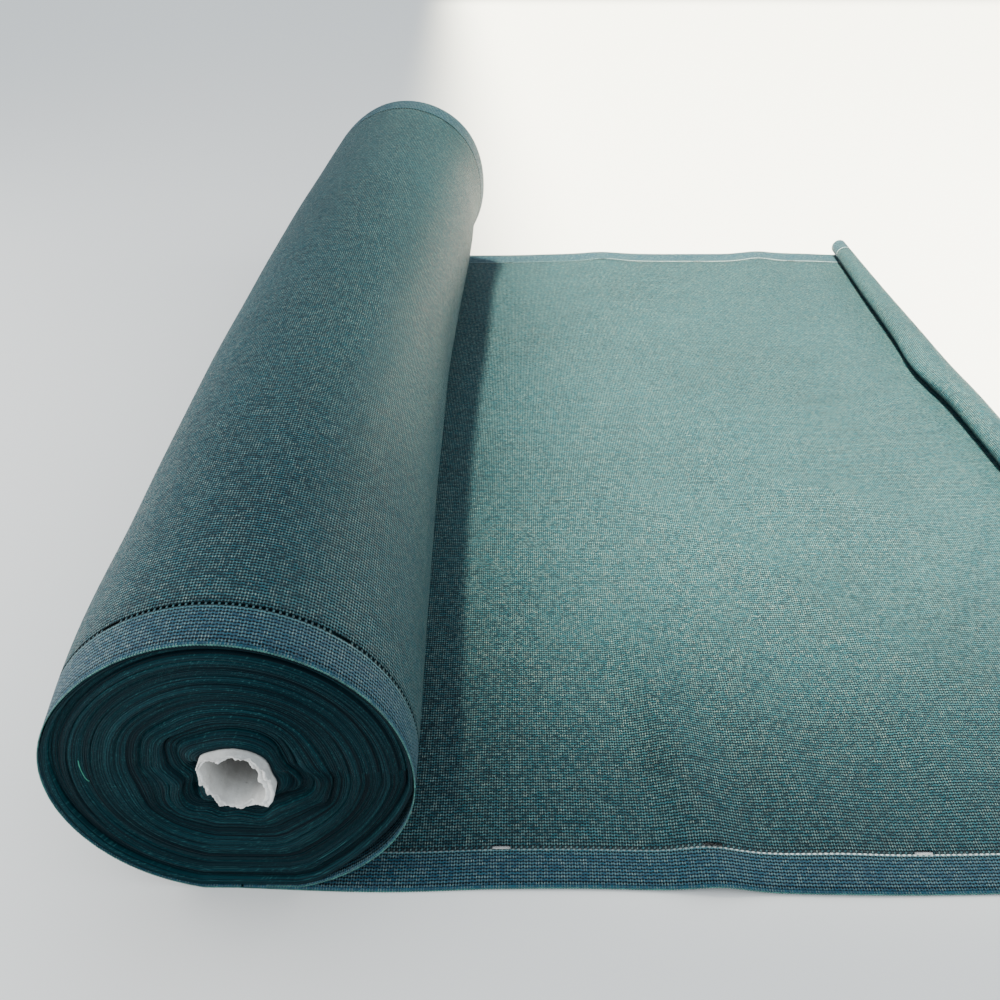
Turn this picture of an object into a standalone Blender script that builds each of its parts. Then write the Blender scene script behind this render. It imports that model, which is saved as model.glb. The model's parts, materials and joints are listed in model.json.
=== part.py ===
"""A roll of knitted shade cloth, partly unrolled, on its crushed paper core.

The cloth lies along X where it is unrolled and is wound on an axis along Y. The wound roll is
one solid with a loosened last turn, the unrolled stretch is a thin sheet whose free end curls
back over itself, and the core is a torn paper tube. Metres, +Z up, the floor is Z = 0, and the
origin is the bottom centre of the whole object's box.
"""
import math
from typing import NamedTuple

import bmesh
import bpy
import numpy as np

# Driving sizes of the cloth
CLOTH_WIDTH = 1.83
HALF_WIDTH = CLOTH_WIDTH / 2
SHEET_THICKNESS = 0.0025
CLEARANCE = 0.0004

# The wound roll: columns round it, places along it, and how far its turns and its seat go
ROLL_COLUMNS = 60
SKIN_Y = (
    -0.915, -0.870, -0.740, -0.600, -0.450, -0.300, -0.150, 0.000,
    0.150, 0.300, 0.450, 0.600, 0.720, 0.810, 0.870, 0.915,
)
TURN_THICKNESS = 0.0038
CORE_X = -0.498
CORE_Z = 0.187
POCKET_LEFT = -0.522
POCKET_RIGHT = -0.20
CUTTER_OVERRUN = 0.06

# The paper core
CORE_WALL = 0.0042
CORE_PROUD = 0.009
CORE_BEVEL = 0.001
NEAR_TONGUE_DEGREES = -42.0
FAR_TONGUE_DEGREES = 75.0
TONGUE_LENGTH = 0.0045
TONGUE_SPREAD = 14.0

# The ladder rows and their long slots, knitted into both edges of the cloth
LADDER_INSET = 0.052
SLOT_PITCH = 0.239
SLOT_FIRST_X = -0.2355
SLOT_COUNT = 4
SLOT_LENGTH = 0.021
SLOT_WIDTH = 0.0045
SLOT_REACH = 0.03

# The free end's curl, in steps round it and in how far it winds
CURL_START_DEGREES = -90.0
CURL_END_DEGREES = 248.0
CURL_STEPS = 15
CURL_SHRINK = 0.22
FLAT_STEPS = 25

# Where the creases of the flat stretch begin, and how soon they fade in beside the roll and the curl
CREASES_FROM_X = -0.32
CREASE_FADE = 0.07
CREASE_STEPS = 12


class RollStation(NamedTuple):
    """One section of the roll: its axis, and its radius at eight compass points."""
    y: float
    axis_x: float
    axis_z: float
    right: float
    upper_right: float
    top: float
    upper_left: float
    left: float
    lower_left: float
    bottom: float
    lower_right: float


ROLL = (
    RollStation(-0.915, -0.5075, 0.186, 0.1880, 0.1860, 0.1805, 0.1760, 0.1880, 0.1965, 0.1930, 0.1900),
    RollStation(-0.870, -0.5095, 0.186, 0.1890, 0.1870, 0.1830, 0.1815, 0.1880, 0.1960, 0.1930, 0.1910),
    RollStation(-0.600, -0.5155, 0.186, 0.1890, 0.1870, 0.1850, 0.1850, 0.1890, 0.1950, 0.1930, 0.1910),
    RollStation(-0.300, -0.5185, 0.185, 0.1870, 0.1850, 0.1840, 0.1870, 0.1890, 0.1920, 0.1920, 0.1890),
    RollStation(0.000, -0.5185, 0.184, 0.1860, 0.1840, 0.1830, 0.1855, 0.1880, 0.1910, 0.1910, 0.1880),
    RollStation(0.300, -0.5110, 0.185, 0.1870, 0.1850, 0.1840, 0.1860, 0.1890, 0.1910, 0.1920, 0.1900),
    RollStation(0.600, -0.5010, 0.186, 0.1880, 0.1870, 0.1855, 0.1845, 0.1870, 0.1910, 0.1930, 0.1910),
    RollStation(0.800, -0.4970, 0.187, 0.1880, 0.1900, 0.1870, 0.1800, 0.1840, 0.1900, 0.1940, 0.1920),
    RollStation(0.915, -0.4950, 0.188, 0.1990, 0.2040, 0.1935, 0.1770, 0.1820, 0.1900, 0.1950, 0.2040),
)


class EndRing(NamedTuple):
    """One ring of a roll's end: its place from bore to rim, and how far it is sunk at each end."""
    reach: float
    near_depth: float
    far_depth: float
    bunch: float


END_RINGS = (
    EndRing(0.000, 0.006, 0.004, 0.0),
    EndRing(0.070, 0.002, 0.003, 0.7),
    EndRing(0.150, 0.010, 0.007, 1.0),
    EndRing(0.270, 0.003, 0.005, 0.8),
    EndRing(0.420, 0.006, 0.002, 0.4),
    EndRing(0.600, 0.001, 0.004, 0.1),
    EndRing(0.760, 0.005, 0.002, 0.0),
    EndRing(0.870, 0.002, 0.006, 0.0),
    EndRing(0.940, 0.009, 0.008, 0.0),
    EndRing(0.975, 0.004, 0.003, 0.0),
    EndRing(1.000, 0.000, 0.000, 0.0),
)


class Bunch(NamedTuple):
    """A fold of the inner turns beside the core, pressed outwards at one angle."""
    degrees: float
    push: float
    spread: float


BUNCHES = (
    Bunch(-62.0, -0.006, 16.0),
    Bunch(-18.0, 0.009, 15.0),
    Bunch(22.0, -0.005, 18.0),
    Bunch(150.0, 0.005, 20.0),
    Bunch(192.0, -0.008, 12.0),
    Bunch(224.0, 0.009, 13.0),
    Bunch(262.0, -0.006, 16.0),
)


class Crescent(NamedTuple):
    """The gap under the loosened turn at one angle, at the near end, the middle and the far end."""
    degrees: float
    near: float
    middle: float
    far: float


CRESCENT = (
    Crescent(-6.0, 0.0000, 0.0000, 0.0000),
    Crescent(-14.0, 0.0042, 0.0026, 0.0040),
    Crescent(-22.0, 0.0078, 0.0046, 0.0070),
    Crescent(-30.0, 0.0106, 0.0062, 0.0092),
    Crescent(-38.0, 0.0118, 0.0068, 0.0100),
    Crescent(-46.0, 0.0112, 0.0064, 0.0092),
    Crescent(-54.0, 0.0086, 0.0050, 0.0070),
    Crescent(-61.0, 0.0048, 0.0030, 0.0040),
    Crescent(-67.0, 0.0000, 0.0000, 0.0000),
)


class CoreRadius(NamedTuple):
    """The crushed core's outer radius at one angle."""
    degrees: float
    radius: float


CORE_OUTLINE = (
    CoreRadius(0.0, 0.0350),
    CoreRadius(40.0, 0.0375),
    CoreRadius(80.0, 0.0372),
    CoreRadius(115.0, 0.0380),
    CoreRadius(146.0, 0.0415),
    CoreRadius(172.0, 0.0345),
    CoreRadius(205.0, 0.0345),
    CoreRadius(240.0, 0.0375),
    CoreRadius(275.0, 0.0385),
    CoreRadius(305.0, 0.0390),
    CoreRadius(326.0, 0.0425),
)


class Tear(NamedTuple):
    """One wave of the core's torn rim: its depth, how often it comes round, and where it starts."""
    depth: float
    count: int
    start: float


TEARS = (Tear(0.0016, 5, 1.3), Tear(0.0012, 11, 0.7))


class Crease(NamedTuple):
    """A soft ridge of the flat stretch, from a start through a middle to an end."""
    start: tuple
    middle: tuple
    end: tuple
    height: float
    half_width: float


CREASES = (
    Crease((-0.045, -0.52), (-0.010, -0.74), (0.004, -0.92), 0.015, 0.040),
    Crease((0.060, -0.46), (0.075, -0.70), (0.150, -0.84), 0.007, 0.045),
    Crease((-0.010, -0.17), (0.160, -0.36), (0.360, -0.58), 0.009, 0.045),
    Crease((0.140, -0.19), (0.290, -0.09), (0.460, -0.25), 0.006, 0.040),
    Crease((0.510, -0.24), (0.420, -0.42), (0.360, -0.56), 0.006, 0.035),
    Crease((0.250, -0.58), (0.290, -0.69), (0.330, -0.80), 0.005, 0.040),
    Crease((-0.340, 0.57), (-0.290, 0.52), (-0.230, 0.44), 0.004, 0.030),
    Crease((0.000, 0.93), (0.010, 0.84), (0.030, 0.72), 0.006, 0.050),
    Crease((0.405, 0.93), (0.395, 0.84), (0.370, 0.70), 0.008, 0.045),
)


class CurlSection(NamedTuple):
    """One section of the free end's curl: its leftmost and rightmost reach and its height."""
    y: float
    left: float
    right: float
    height: float


CURL = (
    CurlSection(-0.915, 0.6410, 0.7096, 0.044),
    CurlSection(-0.600, 0.6350, 0.7050, 0.046),
    CurlSection(-0.300, 0.6270, 0.6970, 0.045),
    CurlSection(0.000, 0.6160, 0.6860, 0.045),
    CurlSection(0.130, 0.6055, 0.6790, 0.045),
    CurlSection(0.270, 0.5830, 0.6700, 0.041),
    CurlSection(0.400, 0.5865, 0.6595, 0.044),
    CurlSection(0.640, 0.5870, 0.6450, 0.043),
    CurlSection(0.915, 0.5900, 0.6310, 0.043),
)


class EdgeWave(NamedTuple):
    """How far the near and the far selvage waver at one place along the cloth."""
    x: float
    near_edge: float
    far_edge: float


EDGE_WAVES = (
    EdgeWave(-0.53, 0.000, 0.000),
    EdgeWave(-0.37, -0.004, -0.004),
    EdgeWave(-0.24, 0.000, -0.004),
    EdgeWave(-0.13, 0.001, 0.003),
    EdgeWave(0.01, -0.002, 0.008),
    EdgeWave(0.18, -0.004, 0.002),
    EdgeWave(0.31, -0.001, 0.003),
    EdgeWave(0.41, 0.002, 0.009),
    EdgeWave(0.60, 0.000, 0.004),
)

# The places across the cloth where the flat stretch has a line of points
SHEET_ROW_Y = (
    -0.915, -0.885, -0.845, -0.800, -0.755, -0.710, -0.665, -0.620, -0.570, -0.515, -0.455,
    -0.390, -0.320, -0.245, -0.165, -0.080, 0.020, 0.120, 0.200, 0.270, 0.340, 0.420,
    0.520, 0.620, 0.720, 0.810, 0.870, 0.915,
)

CLOTH_GREEN = (0.012, 0.062, 0.066, 1.0)
FLAT_GREEN = (0.024, 0.098, 0.098, 1.0)
PAPER_GREY = (0.60, 0.60, 0.58, 1.0)


def curve_value(knots, values, place):
    """Reads a smooth cubic through the knots at a place between them."""
    knots = np.asarray(knots, dtype=float)
    values = np.asarray(values, dtype=float)
    slopes = np.gradient(values, knots)
    place = float(np.clip(place, knots[0], knots[-1]))
    left = int(np.clip(np.searchsorted(knots, place) - 1, 0, len(knots) - 2))
    step = knots[left + 1] - knots[left]
    t = (place - knots[left]) / step
    rise = values[left + 1] - values[left]
    bend_in = slopes[left] * step - rise
    bend_out = rise - slopes[left + 1] * step
    return float(values[left] + rise * t + t * (1 - t) * (bend_in * (1 - t) + bend_out * t))


def round_value(knots, values, degrees):
    """Reads a smooth closed curve, with knots in degrees, at an angle."""
    knots = np.asarray(knots, dtype=float)
    wrapped = np.concatenate([knots - 360.0, knots, knots + 360.0])
    return curve_value(wrapped, np.tile(values, 3), degrees % 360.0)


def roll_section(y):
    """Gives the roll's axis and its eight radii, from the right and anticlockwise, at a place along it."""
    knots = [station.y for station in ROLL]
    columns = list(zip(*[station[1:] for station in ROLL]))
    read = [curve_value(knots, column, y) for column in columns]
    return read[0], read[1], read[2:]


def roll_radius(radii, degrees):
    """Reads the roll's outer radius at an angle from a section's eight radii."""
    return round_value([45.0 * index for index in range(8)], radii, degrees)


def roll_point(y, degrees, inset=0.0):
    """Gives the point of the roll's outer skin, or one that lies an inset inside it."""
    axis_x, axis_z, radii = roll_section(y)
    reach = roll_radius(radii, degrees) - inset
    angle = math.radians(degrees)
    return axis_x + reach * math.cos(angle), max(axis_z + reach * math.sin(angle), 0.0)


def core_radius(degrees):
    """Reads the crushed core's outer radius at an angle."""
    return round_value([row.degrees for row in CORE_OUTLINE], [row.radius for row in CORE_OUTLINE], degrees)


def core_point(degrees, outwards):
    """Gives the point that lies a distance outside the core's outer face at an angle."""
    reach = core_radius(degrees) + outwards
    angle = math.radians(degrees)
    return CORE_X + reach * math.cos(angle), CORE_Z + reach * math.sin(angle)


def bunch_push(degrees):
    """Adds up how far the folds beside the core press outwards at an angle."""
    total = 0.0
    for fold in BUNCHES:
        away = (degrees - fold.degrees + 180.0) % 360.0 - 180.0
        total += fold.push * math.exp(-(away / fold.spread) ** 2)
    return total


def end_loop_point(ring, degrees, end):
    """Gives a point of one of the roll's ends, which is -1 for the near one and 1 for the far one."""
    y_rim = end * HALF_WIDTH
    depth = ring.near_depth if end < 0 else ring.far_depth
    inner_x, inner_z = core_point(degrees, CLEARANCE)
    outer_x, outer_z = roll_point(y_rim, degrees)
    push = bunch_push(degrees) * ring.bunch
    angle = math.radians(degrees)
    x = inner_x + (outer_x - inner_x) * ring.reach + push * math.cos(angle)
    z = inner_z + (outer_z - inner_z) * ring.reach + push * math.sin(angle)
    return x, y_rim - end * depth, z


def loft(name, loops, closed_along=False):
    """Makes a mesh object from loops of equally many points, each closed round."""
    mesh_builder = bmesh.new()
    rows = [[mesh_builder.verts.new(point) for point in loop] for loop in loops]
    count = len(rows[0])
    pairs = list(zip(rows, rows[1:]))
    if closed_along:
        pairs.append((rows[-1], rows[0]))
    else:
        mesh_builder.faces.new(rows[0][::-1])
        mesh_builder.faces.new(rows[-1])
    for lower, upper in pairs:
        for index in range(count):
            after = (index + 1) % count
            mesh_builder.faces.new((lower[index], lower[after], upper[after], upper[index]))
    bmesh.ops.triangulate(mesh_builder, faces=mesh_builder.faces)
    bmesh.ops.recalc_face_normals(mesh_builder, faces=mesh_builder.faces)
    mesh = bpy.data.meshes.new(name)
    mesh_builder.to_mesh(mesh)
    mesh_builder.free()
    return bpy.data.objects.new(name, mesh)


def box(name, low, high):
    """Makes a box object from its lowest and highest corners."""
    mesh_builder = bmesh.new()
    bmesh.ops.create_cube(mesh_builder, size=1.0)
    for vertex in mesh_builder.verts:
        vertex.co = [l + (h - l) * (c + 0.5) for l, h, c in zip(low, high, vertex.co)]
    mesh = bpy.data.meshes.new(name)
    mesh_builder.to_mesh(mesh)
    mesh_builder.free()
    return bpy.data.objects.new(name, mesh)


def finish_material(name, colour, roughness):
    """Makes a plain Principled material."""
    material = bpy.data.materials.new(name)
    material.use_nodes = True
    shader = material.node_tree.nodes["Principled BSDF"]
    shader.inputs["Base Color"].default_value = colour
    shader.inputs["Roughness"].default_value = roughness
    shader.inputs["Metallic"].default_value = 0.0
    material.diffuse_color = colour
    return material


def cut(piece, cutter, cutters):
    """Cuts a piece with another object, which is kept out of sight."""
    cutters.objects.link(cutter)
    cutter.hide_render = True
    cutter.display_type = "WIRE"
    modifier = piece.modifiers.new(cutter.name, "BOOLEAN")
    modifier.operation = "DIFFERENCE"
    modifier.solver = "EXACT"
    modifier.object = cutter


def crescent_loop(y):
    """Gives the closed outline of the gap under the loosened turn at one place along the roll."""
    outer = []
    inner = []
    for row in CRESCENT:
        gap = curve_value((-HALF_WIDTH, 0.0, HALF_WIDTH), (row.near, row.middle, row.far), y)
        outer.append(roll_point(y, row.degrees, TURN_THICKNESS))
        inner.append(roll_point(y, row.degrees, TURN_THICKNESS + gap))
    outline = outer + inner[-2:0:-1]
    return [(x, y, z) for x, z in outline]


def crescent_cutter():
    """Lofts the gap under the loosened turn, past both ends of the roll."""
    loops = [crescent_loop(y) for y in SKIN_Y]
    first = [(x, y - CUTTER_OVERRUN, z) for x, y, z in loops[0]]
    last = [(x, y + CUTTER_OVERRUN, z) for x, y, z in loops[-1]]
    return loft("cut_crescent", [first] + loops + [last])


def build_roll(cutters):
    """Builds the wound roll, a loop round its wall for each column, then cuts its gap and its seat."""
    bore_y = (HALF_WIDTH * 0.5, 0.0, -HALF_WIDTH * 0.5)
    loops = []
    for column in range(ROLL_COLUMNS):
        degrees = 360.0 * column / ROLL_COLUMNS
        loop = [(x, y, z) for y in SKIN_Y for x, z in [roll_point(y, degrees)]]
        loop += [end_loop_point(ring, degrees, 1) for ring in reversed(END_RINGS[:-1])]
        bore_x, bore_z = core_point(degrees, CLEARANCE)
        loop += [(bore_x, y, bore_z) for y in bore_y]
        loop += [end_loop_point(ring, degrees, -1) for ring in END_RINGS[:-1]]
        loops.append(loop)
    roll = loft("wound_roll", loops, closed_along=True)
    cut(roll, crescent_cutter(), cutters)
    seat_top = SHEET_THICKNESS + CLEARANCE
    overrun = HALF_WIDTH + CUTTER_OVERRUN
    low = (POCKET_LEFT, -overrun, -CUTTER_OVERRUN)
    seat = box("cut_sheet_seat", low, (POCKET_RIGHT, overrun, seat_top))
    cut(roll, seat, cutters)
    roll.data.materials.append(finish_material("wound cloth", CLOTH_GREEN, 0.55))
    return roll


def crease_lift(x, y):
    """Adds up how far the creases lift the cloth off the floor at a place."""
    total = 0.0
    for crease in CREASES:
        nearest = 1.0
        along = 0.0
        for step in range(CREASE_STEPS + 1):
            t = step / CREASE_STEPS
            weights = ((1 - t) ** 2, 2 * t * (1 - t), t ** 2)
            line_x = sum(w * p[0] for w, p in zip(weights, (crease.start, crease.middle, crease.end)))
            line_y = sum(w * p[1] for w, p in zip(weights, (crease.start, crease.middle, crease.end)))
            away = math.hypot(x - line_x, y - line_y)
            if away < nearest:
                nearest = away
                along = t
        taper = 0.55 + 0.45 * math.sin(math.pi * along)
        total += crease.height * taper * math.exp(-(nearest / crease.half_width) ** 2)
    return total


def edge_shift(x, y):
    """Gives how far a point moves along the roll's axis, because the selvages waver."""
    knots = [row.x for row in EDGE_WAVES]
    near = curve_value(knots, [row.near_edge for row in EDGE_WAVES], x)
    far = curve_value(knots, [row.far_edge for row in EDGE_WAVES], x)
    share = (y + HALF_WIDTH) / CLOTH_WIDTH
    return near * (1 - share) ** 3 + far * share ** 3


def curl_section(y):
    """Gives the curl's leftmost reach, rightmost reach and height at a place across the cloth."""
    knots = [row.y for row in CURL]
    return [curve_value(knots, column, y) for column in list(zip(*CURL))[1:]]


def sheet_row(y):
    """Gives one line of the cloth's outer face, from under the roll to the edge inside the curl."""
    left, right, height = curl_section(y)
    middle = (left + right) / 2
    half = (right - left) / 2
    start = POCKET_LEFT + CLEARANCE
    points = []
    for step in range(FLAT_STEPS):
        x = start + (middle - start) * step / FLAT_STEPS
        settle = min(1.0, max(0.0, (x - CREASES_FROM_X) / CREASE_FADE))
        calm = min(1.0, max(0.0, (left - x) / CREASE_FADE))
        points.append((x, y + edge_shift(x, y), crease_lift(x, y) * settle * calm))
    for step in range(CURL_STEPS + 1):
        t = step / CURL_STEPS
        angle = math.radians(CURL_START_DEGREES + (CURL_END_DEGREES - CURL_START_DEGREES) * t)
        reach = 1 - CURL_SHRINK * t
        x = middle + half * reach * math.cos(angle)
        z = height / 2 + height / 2 * reach * math.sin(angle)
        points.append((x, y + edge_shift(middle, y), z))
    return points


def slot_boxes():
    """Gives a cutter for each long slot, in both ladder rows of the flat stretch."""
    slots = []
    for side in (-1, 1):
        for index in range(SLOT_COUNT):
            x = SLOT_FIRST_X + SLOT_PITCH * index
            y = side * (HALF_WIDTH - LADDER_INSET)
            low = (x - SLOT_LENGTH / 2, y - SLOT_WIDTH / 2, -SLOT_REACH)
            high = (x + SLOT_LENGTH / 2, y + SLOT_WIDTH / 2, SLOT_REACH)
            slots.append(box(f"cut_slot_{'near' if side < 0 else 'far'}_{index + 1}", low, high))
    return slots


def build_stretch(cutters):
    """Builds the unrolled stretch with its creases and its curled free end, then cuts its slots."""
    mesh_builder = bmesh.new()
    rows = [[mesh_builder.verts.new(point) for point in sheet_row(y)] for y in SHEET_ROW_Y]
    for lower, upper in zip(rows, rows[1:]):
        for index in range(len(lower) - 1):
            mesh_builder.faces.new((lower[index], lower[index + 1], upper[index + 1], upper[index]))
    mesh = bpy.data.meshes.new("loose_stretch")
    mesh_builder.to_mesh(mesh)
    mesh_builder.free()
    stretch = bpy.data.objects.new("loose_stretch", mesh)
    solidify = stretch.modifiers.new("thickness", "SOLIDIFY")
    solidify.thickness = SHEET_THICKNESS
    solidify.offset = 1.0
    solidify.use_even_offset = True
    for slot in slot_boxes():
        cut(stretch, slot, cutters)
    stretch.data.materials.append(finish_material("flat cloth", FLAT_GREEN, 0.6))
    return stretch


def core_tear(degrees, end):
    """Gives how far the core's torn rim stands proud of the roll at an angle."""
    angle = math.radians(degrees)
    ragged = sum(tear.depth * math.sin(tear.count * angle + tear.start * end) for tear in TEARS)
    tongue_degrees = NEAR_TONGUE_DEGREES if end < 0 else FAR_TONGUE_DEGREES
    away = (degrees - tongue_degrees + 180.0) % 360.0 - 180.0
    tongue = TONGUE_LENGTH * math.exp(-(away / TONGUE_SPREAD) ** 2)
    return CORE_PROUD + ragged + tongue


def build_core():
    """Builds the crushed paper tube, a loop round its wall for each column."""
    loops = []
    for column in range(ROLL_COLUMNS):
        degrees = 360.0 * column / ROLL_COLUMNS
        outer_x, outer_z = core_point(degrees, 0.0)
        inner_x, inner_z = core_point(degrees, -CORE_WALL)
        near_y = -HALF_WIDTH - core_tear(degrees, -1)
        far_y = HALF_WIDTH + core_tear(degrees, 1)
        inner_near_y = near_y + CORE_BEVEL
        inner_far_y = far_y - CORE_BEVEL
        outer = [(outer_x, near_y, outer_z), (outer_x, 0.0, outer_z), (outer_x, far_y, outer_z)]
        inner = [(inner_x, inner_far_y, inner_z), (inner_x, 0.0, inner_z), (inner_x, inner_near_y, inner_z)]
        loops.append(outer + inner)
    core = loft("paper_core", loops, closed_along=True)
    core.data.materials.append(finish_material("paper", PAPER_GREY, 0.85))
    return core


def clear_scene():
    """Removes what the scene holds."""
    for leftover in list(bpy.data.objects):
        bpy.data.objects.remove(leftover, do_unlink=True)


def main():
    """Builds the three pieces under one empty at the origin."""
    clear_scene()
    parts = bpy.data.collections.new("shade cloth roll")
    cutters = bpy.data.collections.new("cutters")
    bpy.context.scene.collection.children.link(parts)
    bpy.context.scene.collection.children.link(cutters)
    carrier = bpy.data.objects.new("shade_cloth_origin", None)
    parts.objects.link(carrier)
    for piece in (build_roll(cutters), build_stretch(cutters), build_core()):
        parts.objects.link(piece)
        piece.parent = carrier


main()
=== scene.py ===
"""The looks of a roll of knitted shade cloth, partly unrolled, on its torn paper core.

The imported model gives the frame: +Y along the roll, +X along the unrolled cloth, +Z up, metres.
The cloth's outer turn and its flat stretch are thin sheets, the wound turns show as a spiral
relief at both ends, and the ladder rows and selvages get their own rungs and stitches.
"""

import json
import logging
import math
from dataclasses import dataclass
from enum import Enum
from typing import Callable, NamedTuple

import bmesh
import bpy
import numpy as np
from mathutils import Matrix, Vector

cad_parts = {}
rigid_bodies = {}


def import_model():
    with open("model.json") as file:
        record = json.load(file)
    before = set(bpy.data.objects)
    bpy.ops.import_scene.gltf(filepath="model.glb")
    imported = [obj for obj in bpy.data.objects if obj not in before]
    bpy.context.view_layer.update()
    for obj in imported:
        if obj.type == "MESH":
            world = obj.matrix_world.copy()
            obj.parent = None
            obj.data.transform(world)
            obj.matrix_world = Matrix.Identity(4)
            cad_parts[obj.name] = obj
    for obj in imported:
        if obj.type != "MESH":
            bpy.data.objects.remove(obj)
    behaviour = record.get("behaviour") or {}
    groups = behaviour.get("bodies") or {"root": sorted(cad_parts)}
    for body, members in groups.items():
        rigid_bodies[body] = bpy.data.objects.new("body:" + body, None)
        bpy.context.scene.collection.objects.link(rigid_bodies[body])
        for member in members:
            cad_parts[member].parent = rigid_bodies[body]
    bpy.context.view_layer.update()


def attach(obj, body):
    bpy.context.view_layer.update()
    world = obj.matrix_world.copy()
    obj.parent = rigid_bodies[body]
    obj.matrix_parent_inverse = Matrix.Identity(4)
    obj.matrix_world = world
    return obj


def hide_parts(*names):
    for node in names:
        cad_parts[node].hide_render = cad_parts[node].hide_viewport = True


for leftover in list(bpy.data.objects):
    bpy.data.objects.remove(leftover)
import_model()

LOG = logging.getLogger("shade_cloth")
BODY = "root"


class End(Enum):
    """The roll's two ends: the near one faces the camera."""

    NEAR = -1
    FAR = 1


class Slot(Enum):
    """The record's material slots."""

    WOUND = "wound_cloth"
    FLAT = "flat_cloth"
    PAPER = "paper"


@dataclass(frozen=True)
class ClothSizes:
    """The sizes that the whole cloth shares, in metres."""

    width: float = 1.83
    thickness: float = 0.0012
    wale: float = 0.0042
    course: float = 0.00315
    ladder_inset: float = 0.052
    ladder_half: float = 0.0018
    slot_half: float = 0.00225
    rung_pitch: float = 0.0063
    slot_pitch: float = 0.239
    slot_first_x: float = -0.2355
    slot_count: int = 4
    slot_length: float = 0.021
    roll_slots: tuple[float, ...] = (195.0, 122.0, 49.0, -24.0)

    @property
    def half_width(self) -> float:
        """Half of the cloth's width."""
        return self.width / 2

    @property
    def ladder_y(self) -> float:
        """How far the ladder rows lie from the cloth's middle."""
        return self.half_width - self.ladder_inset

    def slot_places(self) -> list[float]:
        """The places of the long slots along the unrolled cloth."""
        return [self.slot_first_x + self.slot_pitch * index for index in range(self.slot_count)]


CLOTH = ClothSizes()


class RollStation(NamedTuple):
    """One section of the roll: its axis, and its radius at eight compass points."""

    y: float
    axis_x: float
    axis_z: float
    right: float
    upper_right: float
    top: float
    upper_left: float
    left: float
    lower_left: float
    bottom: float
    lower_right: float


ROLL = (
    RollStation(-0.915, -0.5075, 0.186, 0.1880, 0.1860, 0.1805, 0.1760, 0.1880, 0.1965, 0.1930, 0.1900),
    RollStation(-0.870, -0.5095, 0.186, 0.1890, 0.1870, 0.1830, 0.1815, 0.1880, 0.1960, 0.1930, 0.1910),
    RollStation(-0.600, -0.5155, 0.186, 0.1890, 0.1870, 0.1850, 0.1850, 0.1890, 0.1950, 0.1930, 0.1910),
    RollStation(-0.300, -0.5185, 0.185, 0.1870, 0.1850, 0.1840, 0.1870, 0.1890, 0.1920, 0.1920, 0.1890),
    RollStation(0.000, -0.5185, 0.184, 0.1860, 0.1840, 0.1830, 0.1855, 0.1880, 0.1910, 0.1910, 0.1880),
    RollStation(0.300, -0.5110, 0.185, 0.1870, 0.1850, 0.1840, 0.1860, 0.1890, 0.1910, 0.1920, 0.1900),
    RollStation(0.600, -0.5010, 0.186, 0.1880, 0.1870, 0.1855, 0.1845, 0.1870, 0.1910, 0.1930, 0.1910),
    RollStation(0.800, -0.4970, 0.187, 0.1880, 0.1900, 0.1870, 0.1800, 0.1840, 0.1900, 0.1940, 0.1920),
    RollStation(0.915, -0.4950, 0.188, 0.1990, 0.2040, 0.1935, 0.1770, 0.1820, 0.1900, 0.1950, 0.2040),
)


class EndRing(NamedTuple):
    """One ring of a roll's end: its place from bore to rim, and how far it is sunk at each end."""

    reach: float
    near_depth: float
    far_depth: float
    bunch: float


END_RINGS = (
    EndRing(0.000, 0.001, 0.002, 0.0),
    EndRing(0.070, 0.002, 0.003, 0.7),
    EndRing(0.150, 0.009, 0.007, 1.0),
    EndRing(0.270, 0.003, 0.005, 0.8),
    EndRing(0.420, 0.006, 0.002, 0.4),
    EndRing(0.600, 0.001, 0.004, 0.1),
    EndRing(0.760, 0.005, 0.002, 0.0),
    EndRing(0.870, 0.002, 0.006, 0.0),
    EndRing(0.940, 0.008, 0.008, 0.0),
    EndRing(0.975, 0.0015, 0.002, 0.0),
    EndRing(1.000, 0.000, 0.000, 0.0),
)


class Bunch(NamedTuple):
    """A fold of the inner turns beside the core, pressed outwards at one angle."""

    degrees: float
    push: float
    spread: float


BUNCHES = (
    Bunch(-62.0, -0.006, 16.0),
    Bunch(-18.0, 0.009, 15.0),
    Bunch(22.0, -0.005, 18.0),
    Bunch(150.0, 0.005, 20.0),
    Bunch(192.0, -0.008, 12.0),
    Bunch(224.0, 0.009, 13.0),
    Bunch(262.0, -0.006, 16.0),
)


class Pleat(NamedTuple):
    """A smaller fold of the turns: its angle and reach, its push, and how far it spreads."""

    degrees: float
    reach: float
    push: float
    spread_degrees: float
    spread_reach: float


PLEATS = (
    Pleat(-40.0, 0.17, -0.0035, 9.0, 0.09),
    Pleat(-8.0, 0.30, 0.0045, 9.0, 0.10),
    Pleat(-28.0, 0.38, 0.0040, 7.0, 0.10),
    Pleat(8.0, 0.20, -0.0030, 7.0, 0.08),
    Pleat(200.0, 0.24, -0.0040, 8.0, 0.09),
    Pleat(212.0, 0.40, 0.0035, 8.0, 0.12),
    Pleat(238.0, 0.26, -0.0038, 7.0, 0.10),
    Pleat(252.0, 0.18, 0.0040, 8.0, 0.07),
    Pleat(283.0, 0.20, 0.0040, 9.0, 0.08),
    Pleat(176.0, 0.30, 0.0030, 9.0, 0.12),
    Pleat(131.0, 0.34, -0.0025, 12.0, 0.14),
    Pleat(60.0, 0.30, 0.0020, 15.0, 0.14),
)


class Hollow(NamedTuple):
    """A dark pit between the turns: its angle and reach, its depth, and how far it spreads."""

    degrees: float
    reach: float
    depth: float
    spread_degrees: float
    spread_reach: float


HOLLOWS = (
    Hollow(184.0, 0.035, 0.022, 17.0, 0.055),
    Hollow(214.0, 0.110, 0.010, 9.0, 0.030),
    Hollow(-12.0, 0.060, 0.008, 12.0, 0.030),
    Hollow(-44.0, 0.105, 0.007, 10.0, 0.026),
    Hollow(246.0, 0.150, 0.006, 12.0, 0.025),
)


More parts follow.
